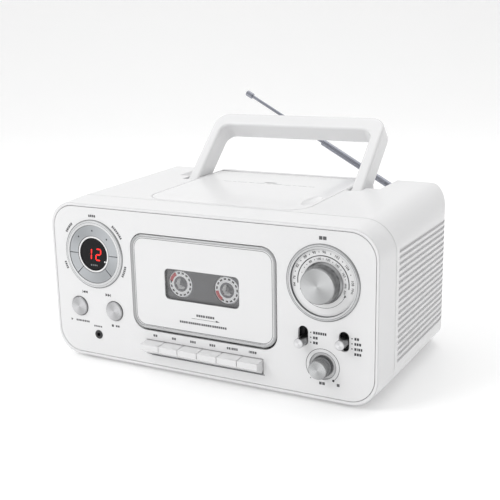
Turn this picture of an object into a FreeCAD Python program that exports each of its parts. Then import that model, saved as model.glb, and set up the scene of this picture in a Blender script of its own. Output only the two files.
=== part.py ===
import FreeCAD, Part
import math
import os
import re

import Sketcher
from FreeCAD import Placement, Rotation, Vector

# Portable CD radio cassette recorder.
# +X is to the right of somebody facing the front, +Y runs to the back, +Z is up.
# Helpers take places measured from the front panel's plane (y) and from the cabinet's
# underside (z); place() adds panel_y and foot_stand, which put the origin on the floor
# under the middle of the whole object.

DIMENSIONS = [
    # alias, millimetres or degrees, what it is
    ("body_width", 300.0, "cabinet, overall width"),
    ("body_depth", 180.0, "cabinet, front panel plane to back"),
    ("body_height", 135.5, "cabinet height at the seam"),
    ("back_rise", 4.6, "how much higher the top is at the back than at the seam"),
    ("seam_depth", 27.0, "front panel plane to the seam between the cabinets"),
    ("seam_gap", 0.3, "shadow gap at the seam"),
    ("wall", 2.5, "cabinet wall"),
    ("front_corner", 21.5, "corner radius at the front rim"),
    ("seam_corner", 25.0, "corner radius at the seam"),
    ("plan_corner", 38.0, "rear vertical corners"),
    ("back_round", 14.0, "top edge of the back"),
    ("base_round", 8.0, "bottom edge of the back"),
    ("foot_stand", 3.0, "height of the feet"),
    ("foot_radius", 8.0, "rubber foot"),
    ("front_foot_y", 17.0, "front feet"),
    ("knob_stand", 10.5, "furthest that a knob stands out of the panel"),
    ("panel_base", 2.9, "bottom of the front panel"),
    ("panel_corner", 20.0, "front panel corner radius"),
    ("panel_thick", 2.5, "front panel"),
    ("panel_gap", 0.4, "groove round the front panel"),
    ("ledge", 7.0, "ledge that carries the front panel"),
    ("dial_z", 91.0, "dial centres"),
    ("dial_radius", 28.9, "outer edge of a dial's ring"),
    ("ring_width", 3.2, "raised ring round the tuning scale"),
    ("display_ring", 4.0, "raised ring round the display and its keys"),
    ("ring_stand", 1.2, "raised ring in front of the panel"),
    ("cluster_outer", 24.6, "key segments round the display"),
    ("cluster_inner", 15.9, "key segments round the display"),
    ("display_radius", 14.0, "round display window"),
    ("segment_gap", 0.35, "clearance round a key segment"),
    ("segment_stand", 0.9, "key segments in front of the panel"),
    ("lower_split", 45.0, "angle of the splits beside the skip key, from level"),
    ("press_travel", 1.2, "travel of a push button"),
    ("scale_radius", 25.4, "tuning scale"),
    ("tuning_face", 13.5, "tuning knob, front face radius"),
    ("tuning_base", 15.8, "tuning knob, base radius"),
    ("volume_face", 7.2, "volume knob, front face radius"),
    ("volume_base", 8.4, "volume knob, base radius"),
    ("volume_z", 27.0, "volume knob centre"),
    ("volume_dish", 10.5, "dished recess round the volume knob"),
    ("dish_depth", 1.2, "dished recess"),
    ("shaft_radius", 3.0, "knob shafts"),
    ("running", 0.05, "radial clearance of a running fit"),
    ("slot_z", 48.5, "middle of the switch slots"),
    ("slot_width", 8.0, "switch slots"),
    ("slot_length", 15.4, "switch slots"),
    ("slider_radius", 3.7, "slide switch knob"),
    ("slider_stand", 9.0, "slide switch knob in front of the panel"),
    ("slide_step", 3.5, "from one switch position to the next"),
    ("button_z", 43.7, "play and stop buttons"),
    ("button_radius", 8.35, "play and stop buttons"),
    ("button_gap", 0.35, "clearance round a button"),
    ("button_stand", 1.5, "buttons in front of the panel"),
    ("jack_z", 20.5, "headphone jack"),
    ("jack_bore", 1.8, "bore radius for a 3.5 mm plug"),
    ("jack_radius", 3.3, "jack barrel"),
    ("jack_depth", 12.4, "length of the jack's bore"),
    ("door_width", 131.4, "cassette door"),
    ("door_base", 33.6, "bottom edge of the cassette door"),
    ("door_top", 112.7, "top edge of the cassette door"),
    ("door_corner", 12.0, "cassette door corner radius"),
    ("door_gap", 0.8, "gap round the cassette door"),
    ("door_skin", 1.6, "cassette door skin"),
    ("window_width", 68.0, "cassette window"),
    ("window_height", 25.5, "cassette window"),
    ("window_corner", 4.0, "cassette window corner radius"),
    ("reel_x", 21.25, "reel centres from the middle"),
    ("reel_z", 74.1, "reel centres"),
    ("cassette_width", 100.4, "compact cassette"),
    ("cassette_height", 63.8, "compact cassette"),
    ("cassette_thick", 8.7, "compact cassette"),
    ("cassette_swell", 1.65, "thicker tape edge, each face"),
    ("cassette_face", 3.4, "front face of the cassette"),
    ("reel_below", 34.8, "reel centres above the cassette's tape edge"),
    ("reel_radius", 11.0, "reel flange"),
    ("reel_bore", 5.2, "reel bore"),
    ("reel_tooth", 4.5, "circle inside the reel's teeth"),
    ("left_tape", 17.0, "radius of the tape on the left reel"),
    ("right_tape", 19.0, "radius of the tape on the right reel"),
    ("door_pivot_y", 4.3, "cassette door pivot"),
    ("door_pivot_z", 35.2, "cassette door pivot"),
    ("pivot_pin", 1.5, "cassette door pivot pins"),
    ("chassis_y", 24.0, "front of the deck chassis"),
    ("chassis_thick", 1.5, "deck chassis plate"),
    ("chassis_half", 74.0, "half the deck chassis width"),
    ("spindle_radius", 2.9, "reel spindle"),
    ("fin_radius", 3.6, "circle round the spindle's fins"),
    ("capstan_x", 26.0, "capstan"),
    ("capstan_z", 45.6, "capstan"),
    ("capstan_radius", 1.1, "capstan"),
    ("flywheel_radius", 20.0, "flywheel"),
    ("flywheel_y", 44.0, "front of the flywheel"),
    ("flywheel_thick", 6.0, "flywheel"),
    ("motor_x", -30.0, "deck motor"),
    ("motor_radius", 13.0, "deck motor"),
    ("pulley_radius", 4.0, "motor pulley"),
    ("belt_thick", 1.0, "drive belt"),
    ("roller_radius", 5.5, "pinch roller"),
    ("head_lift", 4.0, "travel of the head plate"),
    ("roller_gap", 0.3, "roller to capstan with the head plate up"),
    ("key_first", -54.3, "left edge of the first key"),
    ("key_pitch", 18.1, "from one key to the next"),
    ("key_gap", 0.6, "gap between keys"),
    ("key_stand", 10.0, "keys in front of the panel"),
    ("key_top", 23.6, "top of a key at the panel"),
    ("key_lip", 23.0, "top of a key's front face"),
    ("key_chin", 18.1, "bottom of a key's front face"),
    ("key_foot", 12.6, "bottom of a key's lower slope"),
    ("key_shaft_y", 18.0, "key shaft"),
    ("key_shaft_z", 15.0, "key shaft"),
    ("key_shaft_radius", 1.5, "key shaft"),
    ("lid_front", 30.5, "front edge of the CD lid"),
    ("lid_corner", 20.0, "front corners of the CD lid"),
    ("lid_thick", 3.0, "CD lid"),
    ("lid_gap", 0.4, "gap round the CD lid"),
    ("lid_pivot_y", 160.0, "CD lid pivot"),
    ("lid_barrel", 4.0, "hinge barrel at the back of the CD lid"),
    ("disc_y", 93.5, "centre of the disc well"),
    ("well_radius", 61.5, "disc well"),
    ("platter_radius", 15.0, "disc turntable"),
    ("handle_half", 86.0, "half the width of the handle"),
    ("arm_width", 10.0, "handle arms"),
    ("handle_length", 84.5, "pivot to the outer face of the grip"),
    ("grip_thick", 14.2, "grip"),
    ("handle_depth", 19.8, "handle, front to back"),
    ("handle_lean", 46.8, "how far the handle leans back, in degrees"),
    ("handle_corner", 14.0, "outer corners of the handle"),
    ("handle_inner", 9.0, "inner corners of the handle"),
    ("handle_edge", 2.5, "rounded edges of the handle"),
    ("handle_y", 126.0, "handle pivot"),
    ("handle_pin", 4.0, "handle pivot pins"),
    ("trough_gap", 1.2, "clearance beside a handle arm"),
    ("trough_flat", 2.0, "trough floor outside an arm"),
    ("trough_slope", 15.0, "width of the trough's sloped side"),
    ("grille_first", 27.0, "middle of the lowest grille slot"),
    ("grille_pitch", 4.7, "from one grille slot to the next"),
    ("grille_slot", 2.3, "height of a grille slot"),
    ("grille_start", 33.5, "front end of the grille slots"),
    ("grille_end", 152.0, "back end of the grille slots"),
    ("antenna_off", 18.5, "antenna's plane behind the back"),
    ("antenna_angle", 29.16, "how far the antenna is raised, in degrees"),
    ("boss_radius", 10.0, "antenna boss"),
    ("boss_stand", 5.0, "antenna boss behind the back"),
    ("swivel_radius", 5.5, "antenna swivel"),
    ("swivel_fork", 4.5, "how far the fork reaches past the antenna's pin"),
    ("clip_x", -84.0, "antenna clip"),
    ("clip_width", 8.0, "antenna clip"),
    ("clip_height", 16.5, "antenna clip, above the antenna's pivot"),
    ("clip_groove", 3.3, "half the width of the clip's groove"),
    ("tube_radius", 3.0, "outer antenna tube"),
    ("tube_wall", 0.45, "antenna tubes"),
    ("tube_length", 100.0, "outer antenna tube, from its pin"),
    ("rod_radius", 1.5, "innermost antenna rod"),
    ("rod_out", 92.0, "rod and cap beyond the outer tube"),
    ("cap_radius", 2.8, "antenna cap"),
    ("cap_length", 7.0, "antenna cap"),
    ("speaker_y", 88.0, "speakers"),
    ("speaker_z", 70.0, "speakers"),
    ("speaker_radius", 38.5, "speaker frame"),
    ("bay_half", 77.0, "half the battery bay's width"),
    ("bay_base", 12.0, "battery bay floor"),
    ("bay_top", 65.0, "battery bay ceiling"),
    ("bay_depth", 27.5, "battery bay, inside"),
    ("bay_wall", 2.0, "battery case"),
    ("cover_gap", 0.3, "gap round the battery cover"),
    ("cover_pivot", 2.5, "battery cover pivot above its bottom edge"),
    ("cover_pin", 1.0, "battery cover pivot pins"),
    ("cover_pin_y", 1.4, "battery cover pivot, in from the back"),
    ("inlet_x", -100.0, "mains inlet"),
    ("inlet_z", 30.0, "mains inlet"),
    ("screw_x", 92.0, "back screws"),
    ("screw_radius", 1.5, "screw shank"),
    ("screw_head", 3.4, "screw head"),
]
DERIVED = [
    # alias, expression, what it is
    ("front_width", "body_width - 6", "front cabinet at its front rim"),
    ("front_height", "body_height - 2.3", "front cabinet at its front rim"),
    ("panel_width", "body_width - 11", "front panel"),
    ("panel_height", "body_height - 7.9", "front panel"),
    ("dial_x", "body_width / 2 - 46.2", "dials from the middle"),
    ("play_x", "dial_x + 18.5", "play button, left of the middle"),
    ("stop_x", "dial_x - 18", "stop button, left of the middle"),
    ("band_x", "dial_x - 15.8", "band switch"),
    ("function_x", "dial_x + 16.9", "function switch"),
    ("foot_x", "body_width / 2 - 32", "feet from the middle"),
    ("back_foot_y", "body_depth - 30", "back feet"),
    ("antenna_x", "body_width / 2 - 46", "antenna swivel"),
    ("antenna_z", "body_height - 18", "antenna swivel"),
    ("lid_half", "handle_half - arm_width - 3", "half the width of the CD lid"),
    ("well_floor", "body_height - 13.5", "floor of the disc well"),
    ("well_top", "body_height - 3.2", "top face of the disc tray"),
    ("handle_z", "body_height - 7.5", "handle pivot"),
    ("trough_floor", "body_height - 8.5", "floor of the troughs behind the arms"),
    ("panel_y", "(knob_stand - body_depth - antenna_off - swivel_fork) / 2",
     "front panel plane in the object's frame"),
]
SIZE = {alias: value for alias, value, note in DIMENSIONS}
NAMES = set(SIZE) | {alias for alias, expression, note in DERIVED}
KEYS = ["record_key", "play_key", "rewind_key", "fast_forward_key", "stop_eject_key", "pause_key"]
GRILLE_SLOTS = 19
REEL_TEETH = 6
SPINDLE_FINS = 3

# Turns that take a turned piece's own axis, local +Y, to a direction of the object.
TO_BACK = Rotation()
TO_FRONT = Rotation(Vector(0, 0, 1), 180)
UP = Rotation(Vector(1, 0, 0), 90)
TO_RIGHT = Rotation(Vector(0, 0, 1), -90)
TO_LEFT = Rotation(Vector(0, 0, 1), 90)

doc = FreeCAD.newDocument("cassette_player")


def make_sheet():
    sheet = doc.addObject("Spreadsheet::Sheet", "Sizes")
    rows = [(alias, str(value), note) for alias, value, note in DIMENSIONS]
    rows += [(alias, "=" + expression, note) for alias, expression, note in DERIVED]
    for row, (alias, content, note) in enumerate(rows, start=1):
        sheet.set("A%d" % row, alias)
        sheet.set("B%d" % row, content)
        sheet.set("C%d" % row, note)
        sheet.setAlias("B%d" % row, alias)
    doc.recompute()


def cell(expression):
    """Put the sheet's name in front of each of its aliases in an expression."""
    def named(match):
        word = match.group()
        return "Sizes." + word if word in NAMES else word
    return re.sub(r"[a-z_][a-z_0-9]*", named, str(expression))


def bind(thing, **sizes):
    for name, expression in sizes.items():
        thing.setExpression(name, cell(expression))


def place(thing, x, y, z, turn=TO_BACK):
    """Put a thing's own origin at a place given from the panel plane and the underside."""
    thing.Placement = Placement(Vector(), turn)
    thing.setExpression("Placement.Base.x", cell(x))
    thing.setExpression("Placement.Base.y", cell("panel_y + (%s)" % y))
    thing.setExpression("Placement.Base.z", cell("foot_stand + (%s)" % z))
    return thing


# ---- building blocks ---------------------------------------------------------------

def block(name, x, y, z):
    """Box between pairs of limits, each pair given as (low, high)."""
    box = doc.addObject("Part::Box", name)
    bind(box, Length="(%s) - (%s)" % (x[1], x[0]), Width="(%s) - (%s)" % (y[1], y[0]),
         Height="(%s) - (%s)" % (z[1], z[0]))
    return place(box, x[0], y[0], z[0])


def rod(name, radius, length, at, turn=TO_BACK):
    """Cylinder from a place, along +Y unless turned."""
    cylinder = doc.addObject("Part::Cylinder", name)
    bind(cylinder, Radius=radius, Height=length)
    return place(cylinder, *at, turn=turn * Rotation(Vector(1, 0, 0), -90))


def polygon(sketch, points):
    """Closed outline whose corners are each bound to the sheet."""
    count = len(points)
    corners = [Vector(10 * math.cos(2 * math.pi * i / count), 10 * math.sin(2 * math.pi * i / count), 0)
               for i in range(count)]
    for i in range(count):
        sketch.addGeometry(Part.LineSegment(corners[i], corners[(i + 1) % count]), False)
    for i in range(count):
        sketch.addConstraint(Sketcher.Constraint("Coincident", i, 2, (i + 1) % count, 1))
    for i, corner in enumerate(points):
        for kind, start, expression in (("DistanceX", corners[i].x, corner[0]),
                                        ("DistanceY", corners[i].y, corner[1])):
            index = sketch.addConstraint(Sketcher.Constraint(kind, -1, 1, i, 1, start))
            label = "%s%d" % (kind[-1].lower(), i)
            sketch.renameConstraint(index, label)
            sketch.setExpression("Constraints." + label, cell(expression))


def body_sketch(name, plane, points):
    """New body with one polygon sketch on one of its origin planes."""
    body = doc.addObject("PartDesign::Body", name)
    sketch = body.newObject("Sketcher::SketchObject", name + "_outline")
    support = [f for f in body.Origin.OriginFeatures if f.Role == plane][0]
    sketch.AttachmentSupport = (support, [""])
    sketch.MapMode = "FlatFace"
    polygon(sketch, points)
    return body, sketch


def turned(name, profile, at, turn=TO_BACK):
    """Solid of revolution: profile points are (radius, distance along the axis)."""
    body, sketch = body_sketch(name, "XY_Plane", profile)
    revolve = body.newObject("PartDesign::Revolution", name + "_turned")
    revolve.Profile = sketch
    revolve.ReferenceAxis = (sketch, ["V_Axis"])
    revolve.Angle = 360
    body.Tip = revolve
    return place(body, *at, turn=turn)


def side_prism(name, profile, x):
    """Solid with a (y, z) profile, drawn from the panel plane, between two X limits."""
    body, sketch = body_sketch(name, "YZ_Plane", profile)
    pad = body.newObject("PartDesign::Pad", name + "_pad")
    pad.Profile = sketch
    bind(pad, Length="(%s) - (%s)" % (x[1], x[0]))
    body.Tip = pad
    return place(body, x[0], 0, 0)


def front_prism(name, profile, y):
    """Solid with an (x, z) profile between two Y limits."""
    body, sketch = body_sketch(name, "XZ_Plane", profile)
    pad = body.newObject("PartDesign::Pad", name + "_pad")
    pad.Profile = sketch
    pad.Reversed = True
    bind(pad, Length="(%s) - (%s)" % (y[1], y[0]))
    body.Tip = pad
    return place(body, 0, y[0], 0)


def rounded(name, x, y, z, along, rounds):
    """Box whose edges along one axis are rounded.

    rounds is a list of (radius, test), where test picks edges by their middle point,
    given as fractions of the box from 0 to 1.
    """
    body = doc.addObject("PartDesign::Body", name)
    box = body.newObject("PartDesign::AdditiveBox", name + "_box")
    bind(box, Length="(%s) - (%s)" % (x[1], x[0]), Width="(%s) - (%s)" % (y[1], y[0]),
         Height="(%s) - (%s)" % (z[1], z[0]))
    doc.recompute()
    base = box
    for number, (radius, test) in enumerate(rounds):
        names = [edge for edge, middle in edges_along(base, along, box) if test(*middle)]
        fillet = body.newObject("PartDesign::Fillet", "%s_round%d" % (name, number))
        fillet.Base = (base, names)
        bind(fillet, Radius=radius)
        body.Tip = fillet
        doc.recompute()
        base = fillet
    return place(body, x[0], y[0], z[0])


def edges_along(feature, along, box):
    """Straight edges of a feature along one axis, with their middles as box fractions."""
    spans = (box.Length.Value, box.Width.Value, box.Height.Value)
    found = []
    for index, edge in enumerate(feature.Shape.Edges, start=1):
        ends = [vertex.Point for vertex in edge.Vertexes]
        if len(ends) != 2 or not isinstance(edge.Curve, Part.Line):
            continue
        run = ends[1] - ends[0]
        run.normalize()
        if abs(abs(run[along]) - 1) > 1e-6:
            continue
        middle = (ends[0] + ends[1]) * 0.5
        found.append(("Edge%d" % index, [middle[i] / spans[i] for i in range(3)]))
    return found


def every(x, y, z):
    return True


def cut(name, base, *tools):
    result = doc.addObject("Part::Cut", name)
    result.Base = base
    result.Tool = tools[0] if len(tools) == 1 else fuse(name + "_tools", *tools)
    return result


def fuse(name, *pieces):
    result = doc.addObject("Part::MultiFuse", name)
    result.Shapes = list(pieces)
    return result


def common(name, *pieces):
    result = doc.addObject("Part::MultiCommon", name)
    result.Shapes = list(pieces)
    return result


def group(name, *pieces):
    """Several separate solids in one sub-part."""
    result = doc.addObject("Part::Compound", name)
    result.Links = list(pieces)
    return result


PARTS = []


def part(thing, label):
    """Hand a finished sub-part in under its own label."""
    thing.Label = label
    PARTS.append(thing)
    return thing


# ---- cabinet -----------------------------------------------------------------------

def outline(name, width, height, radius, y, base="0"):
    """Rounded rectangle standing on a base height, drawn in a plane of constant y."""
    sketch = doc.addObject("Sketcher::SketchObject", name)
    right, corner = "(%s) / 2" % width, "(%s)" % radius
    top = "(%s) + (%s)" % (base, height)
    inner_x = "%s - %s" % (right, corner)
    low, high = "(%s) + %s" % (base, corner), "%s - %s" % (top, corner)
    ends = [
        ("-(%s)" % inner_x, base), (inner_x, base), (right, low), (right, high),
        (inner_x, top), ("-(%s)" % inner_x, top), ("-(%s)" % right, high), ("-(%s)" % right, low),
    ]
    start = [(-40, 0), (40, 0), (50, 10), (50, 50), (40, 60), (-40, 60), (-50, 50), (-50, 10)]
    centres = [(40, 10), (40, 50), (-40, 50), (-40, 10)]
    for i in range(4):
        first, last = start[2 * i], start[2 * i + 1]
        sketch.addGeometry(Part.LineSegment(Vector(*first, 0), Vector(*last, 0)), False)
    for i in range(4):
        circle = Part.Circle(Vector(*centres[i], 0), Vector(0, 0, 1), 10)
        turn = math.radians(90 * i - 90)
        sketch.addGeometry(Part.ArcOfCircle(circle, turn, turn + math.pi / 2), False)
    for i in range(4):
        sketch.addConstraint(Sketcher.Constraint("Coincident", 4 + i, 1, i, 2))
        sketch.addConstraint(Sketcher.Constraint("Coincident", 4 + i, 2, (i + 1) % 4, 1))
    for i, point in enumerate(ends):
        for kind, value, expression in (("DistanceX", start[i][0], point[0]),
                                        ("DistanceY", start[i][1], point[1])):
            bind_distance(sketch, kind, i // 2, 1 + i % 2, value, expression, "p%d" % i)
    for i in range(4):
        sign = "" if i < 2 else "-"
        bind_distance(sketch, "DistanceX", 4 + i, 3, centres[i][0], "%s(%s)" % (sign, inner_x), "c%d" % i)
    return place(sketch, 0, y, 0, turn=UP)


def bind_distance(sketch, kind, line, vertex, value, expression, label):
    """Distance from the sketch's origin to a point, bound to the sheet."""
    index = sketch.addConstraint(Sketcher.Constraint(kind, -1, 1, line, vertex, value))
    name = label + kind[-1].lower()
    sketch.renameConstraint(index, name)
    sketch.setExpression("Constraints." + name, cell(expression))


def loft(name, *sections):
    result = doc.addObject("Part::Loft", name)
    result.Sections = list(sections)
    result.Solid = True
    result.Ruled = True
    return result


def make_front_cabinet():
    rim = outline("front_rim", "front_width", "front_height", "front_corner", "0")
    seam = outline("front_seam", "body_width", "body_height", "seam_corner", "seam_depth")
    shell = loft("front_form", rim, seam)
    seat_half = "panel_width / 2 + panel_gap"
    seat = rounded("panel_seat", ("-(%s)" % seat_half, seat_half), ("-1", "panel_thick + 0.2"),
                   ("panel_base - panel_gap", "panel_base + panel_height + panel_gap"), 1,
                   [("panel_corner + panel_gap", every)])
    mouth_half = "panel_width / 2 - ledge"
    mouth = rounded("panel_mouth", ("-(%s)" % mouth_half, mouth_half), ("0", "panel_thick + wall + 1"),
                    ("panel_base + ledge", "panel_base + panel_height - ledge"), 1,
                    [("panel_corner - ledge", every)])
    inner_rim = outline("front_inner_rim", "front_width - 2 * wall", "front_height - 2 * wall",
                        "front_corner - wall", "panel_thick + wall", "wall")
    inner_seam = outline("front_inner_seam", "body_width - 2 * wall", "body_height - 2 * wall",
                         "seam_corner - wall", "seam_depth + 1", "wall")
    hollow = loft("front_hollow", inner_rim, inner_seam)
    part(cut("front_cabinet", shell, seat, mouth, hollow), "front_cabinet")


def cabinet_form(name, inset, front):
    """Rear cabinet's outer shape, or its hollow when inset by the wall."""
    tall = "body_height + back_rise - 2 * (%s)" % inset
    seam = outline(name + "_seam", "body_width - 2 * (%s)" % inset, "body_height - 2 * (%s)" % inset,
                   "seam_corner - (%s)" % inset, front, inset)
    back = outline(name + "_back", "body_width - 2 * (%s)" % inset, tall,
                   "seam_corner - (%s)" % inset, "body_depth - (%s)" % inset, inset)
    half = "body_width / 2 - (%s)" % inset
    depth = ("0", "body_depth - (%s)" % inset)
    height = (inset, "body_height + back_rise - (%s)" % inset)
    plan = rounded(name + "_plan", ("-(%s)" % half, half), depth, height, 2,
                   [("plan_corner - (%s)" % inset, lambda x, y, z: y > 0.5)])
    side = rounded(name + "_side", ("-(%s)" % half, half), depth, height, 0,
                   [("back_round - (%s)" % inset, lambda x, y, z: y > 0.5 and z > 0.5),
                    ("base_round - (%s)" % inset, lambda x, y, z: y > 0.5 and z < 0.5)])
    return common(name, loft(name + "_loft", seam, back), plan, side)


TOP = "(body_height + back_rise * (%s - seam_depth) / (body_depth - seam_depth))"


def arm_side(side, outer):
    """X limits of a strip from the inner face of a handle arm outwards."""
    inner = "handle_half - arm_width - trough_gap"
    return (inner, outer) if side > 0 else ("-(%s)" % outer, "-(%s)" % inner)


def trough_profile(side, skin):
    """(x, z) section of the trough behind a handle arm, grown outwards by a skin."""
    sign = "" if side > 0 else "-"
    inner = "%s(handle_half - arm_width - trough_gap - (%s))" % (sign, skin)
    flat = "%s(handle_half + trough_flat + (%s) / 2)" % (sign, skin)
    outer = "%s(handle_half + trough_flat + trough_slope + (%s))" % (sign, skin)
    floor, top = "trough_floor - (%s)" % skin, "body_height + back_rise + 2"
    points = [(inner, floor), (flat, floor), (outer, top), (inner, top)]
    return points if side > 0 else points[::-1]


def make_rear_cabinet():
    outer = cabinet_form("rear_form", "0", "seam_depth + seam_gap")
    hollow = cabinet_form("rear_hollow", "wall", "seam_depth")
    walls, voids = [], []
    for side, tag in ((1, "right"), (-1, "left")):
        reach = "handle_half + trough_gap"
        walls.append(front_prism(tag + "_trough_wall", trough_profile(side, "wall"),
                                 ("handle_y", "body_depth - wall")))
        voids.append(front_prism(tag + "_trough_void", trough_profile(side, "0"),
                                 ("handle_y + wall", "body_depth + 5")))
        low = "handle_z - handle_depth / 2 - 2"
        front, rear = "handle_y - handle_depth / 2 - 1.6", "handle_y + 15"
        x = arm_side(side, reach)
        wide = (x[0] + " - wall", x[1] + " + wall")
        walls.append(block(tag + "_arm_wall", wide, (front + " - wall", rear + " + wall"),
                           (low + " - wall", "body_height + back_rise + 1")))
        voids.append(block(tag + "_arm_void", x, (front, rear), (low, "body_height + back_rise + 5")))
        pin_start = wide[0]
        voids.append(rod(tag + "_pin_hole", "handle_pin + 0.02", "arm_width + 2 * trough_gap + 2 * wall",
                         (pin_start, "handle_y", "handle_z"), TO_RIGHT))
    lid_half = "lid_half + lid_gap"
    lid_back = "lid_pivot_y + lid_barrel + lid_gap"
    voids.append(rounded("lid_opening", ("-(%s)" % lid_half, lid_half), ("lid_front - lid_gap", lid_back),
                         ("body_height - 6", "body_height + back_rise + 5"), 2,
                         [("lid_corner + lid_gap", lambda x, y, z: y < 0.5)]))
    shell = fuse("rear_walls", cut("rear_shell", outer, hollow),
                 common("rear_troughs", outer, fuse("trough_walls", *walls)),
                 rod("antenna_boss", "boss_radius", "boss_stand + wall",
                     ("antenna_x", "body_depth - wall", "antenna_z")),
                 antenna_clip())
    voids.append(rod("swivel_hole", "swivel_radius + running", "boss_stand + wall + 2",
                     ("antenna_x", "body_depth - wall - 1", "antenna_z")))
    voids.append(block("bay_hole", ("-bay_half", "bay_half"), ("body_depth - wall - 1", "body_depth + 1"),
                       ("bay_base", "bay_top")))
    voids.append(block("inlet_hole", ("inlet_x - 11.2", "inlet_x + 11.2"),
                       ("body_depth - wall - 1", "body_depth + 1"), ("inlet_z - 7.2", "inlet_z + 7.2")))
    voids.append(rod("cover_pin_hole", "cover_pin + running", "2 * bay_half + 4",
                     ("-bay_half - 2", "body_depth - cover_pin_y", "bay_base + cover_gap + cover_pivot"),
                     TO_RIGHT))
    for number, (x, z) in enumerate(screw_places()):
        voids.append(rod("screw_hole%d" % number, "screw_radius + 0.1", "wall + 2",
                         (x, "body_depth - wall - 1", z)))
    for number in range(GRILLE_SLOTS):
        middle = "grille_first + %d * grille_pitch" % number
        voids.append(block("grille_slot%d" % number, ("-body_width", "body_width"),
                           ("grille_start", "grille_end"),
                           (middle + " - grille_slot / 2", middle + " + grille_slot / 2")))
    voids[-GRILLE_SLOTS:] = [keep_middle(voids[-GRILLE_SLOTS:])]
    part(cut("rear_cabinet", shell, *voids), "rear_cabinet")


def antenna_clip():
    """Open hook on the back that the lowered antenna drops into."""
    x = ("clip_x - clip_width / 2", "clip_x + clip_width / 2")
    plane = "body_depth + antenna_off"
    arm = block("clip_arm", x, ("body_depth - wall", plane), ("antenna_z - 2", "antenna_z + 8.5"))
    hook = block("clip_hook", x, (plane + " - swivel_fork - 1", plane + " + swivel_fork"),
                 ("antenna_z - 2", "antenna_z + clip_height"))
    groove = block("clip_groove_tool", (x[0] + " - 1", x[1] + " + 1"),
                   (plane + " - clip_groove", plane + " + clip_groove"),
                   ("antenna_z + 8.5", "antenna_z + clip_height + 1"))
    return cut("clip", fuse("clip_body", arm, hook), groove)


def keep_middle(slots):
    """Grille slots with the middle of the cabinet left alone."""
    middle = block("grille_middle", ("-(body_width / 2 - plan_corner / 2)", "body_width / 2 - plan_corner / 2"),
                   ("0", "body_depth"), ("0", "body_height + back_rise"))
    return cut("grille_slots", fuse("grille_bars", *slots), middle)


def screw_places():
    return [(sign + "screw_x", z) for sign in ("", "-") for z in ("inlet_z - 19", "bay_top + 14")]


def make_cabinet_trim():
    feet = []
    for sign in ("", "-"):
        for tag, y in (("front", "front_foot_y"), ("back", "back_foot_y")):
            name = "%s_foot_%s" % (tag, "right" if sign == "" else "left")
            profile = [("0", "0"), ("foot_radius - 1", "0"), ("foot_radius", "1"),
                       ("foot_radius", "foot_stand"), ("0", "foot_stand")]
            feet.append(turned(name, profile, (sign + "foot_x", y, "-foot_stand"), UP))
    part(group("rubber_feet", *feet), "rubber_feet")
    screws = []
    for number, (x, z) in enumerate(screw_places()):
        profile = [("0", "1.8"), ("screw_head - 0.6", "1.8"), ("screw_head", "1.2"), ("screw_head", "0"),
                   ("screw_radius", "0"), ("screw_radius", "-12"), ("0", "-12")]
        screws.append(turned("screw%d" % number, profile, (x, "body_depth", z)))
    part(group("cabinet_screws", *screws), "cabinet_screws")
    pins = []
    for sign in ("", "-"):
        start = "handle_half - arm_width - trough_gap - wall" if sign == "" else "-(handle_half + trough_gap + wall)"
        pins.append(rod("handle_pin_" + ("right" if sign == "" else "left"), "handle_pin",
                        "arm_width + 2 * trough_gap + 2 * wall", (start, "handle_y", "handle_z"), TO_RIGHT))
    part(group("handle_pins", *pins), "handle_pins")


def make_front_panel():
    half = "panel_width / 2"
    plate = rounded("panel_plate", ("-(%s)" % half, half), ("0", "panel_thick"),
                    ("panel_base", "panel_base + panel_height"), 1, [("panel_corner", every)])
    through = ("-1", "panel_thick + 1")
    door_half = "door_width / 2 + door_gap"
    holes = [rounded("door_hole", ("-(%s)" % door_half, door_half), through,
                     ("door_base - door_gap - 1", "door_top + door_gap"), 1,
                     [("door_corner + door_gap", every)])]
    holes.append(block("key_hole", ("key_first - 0.4", "key_first + 6 * key_pitch - key_gap + 0.4"), through,
                       ("key_foot - 1.1", "key_top + 0.6")))
    for tag, x, z, radius in (("display", "-dial_x", "dial_z", "dial_radius - 1"),
                              ("tuning", "dial_x", "dial_z", "dial_radius - 1"),
                              ("play", "-play_x", "button_z", "button_radius + button_gap"),
                              ("stop", "-stop_x", "button_z", "button_radius + button_gap"),
                              ("jack", "-dial_x", "jack_z", "jack_radius + 0.05"),
                              ("volume", "dial_x", "volume_z", "shaft_radius + 0.4")):
        holes.append(rod(tag + "_hole", radius, "panel_thick + 2", (x, "-1", z)))
    holes.append(rod("volume_recess", "volume_dish", "1 + dish_depth", ("dial_x", "-1", "volume_z")))
    for tag, x in (("band", "band_x"), ("function", "function_x")):
        holes.append(rounded(tag + "_slot", (x + " - slot_width / 2", x + " + slot_width / 2"), through,
                             ("slot_z - slot_length / 2", "slot_z + slot_length / 2"), 1,
                             [("slot_width / 2 - 0.01", every)]))
    part(cut("front_panel", plate, *holes), "front_panel")


# ---- display cluster and dials -----------------------------------------------------

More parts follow.
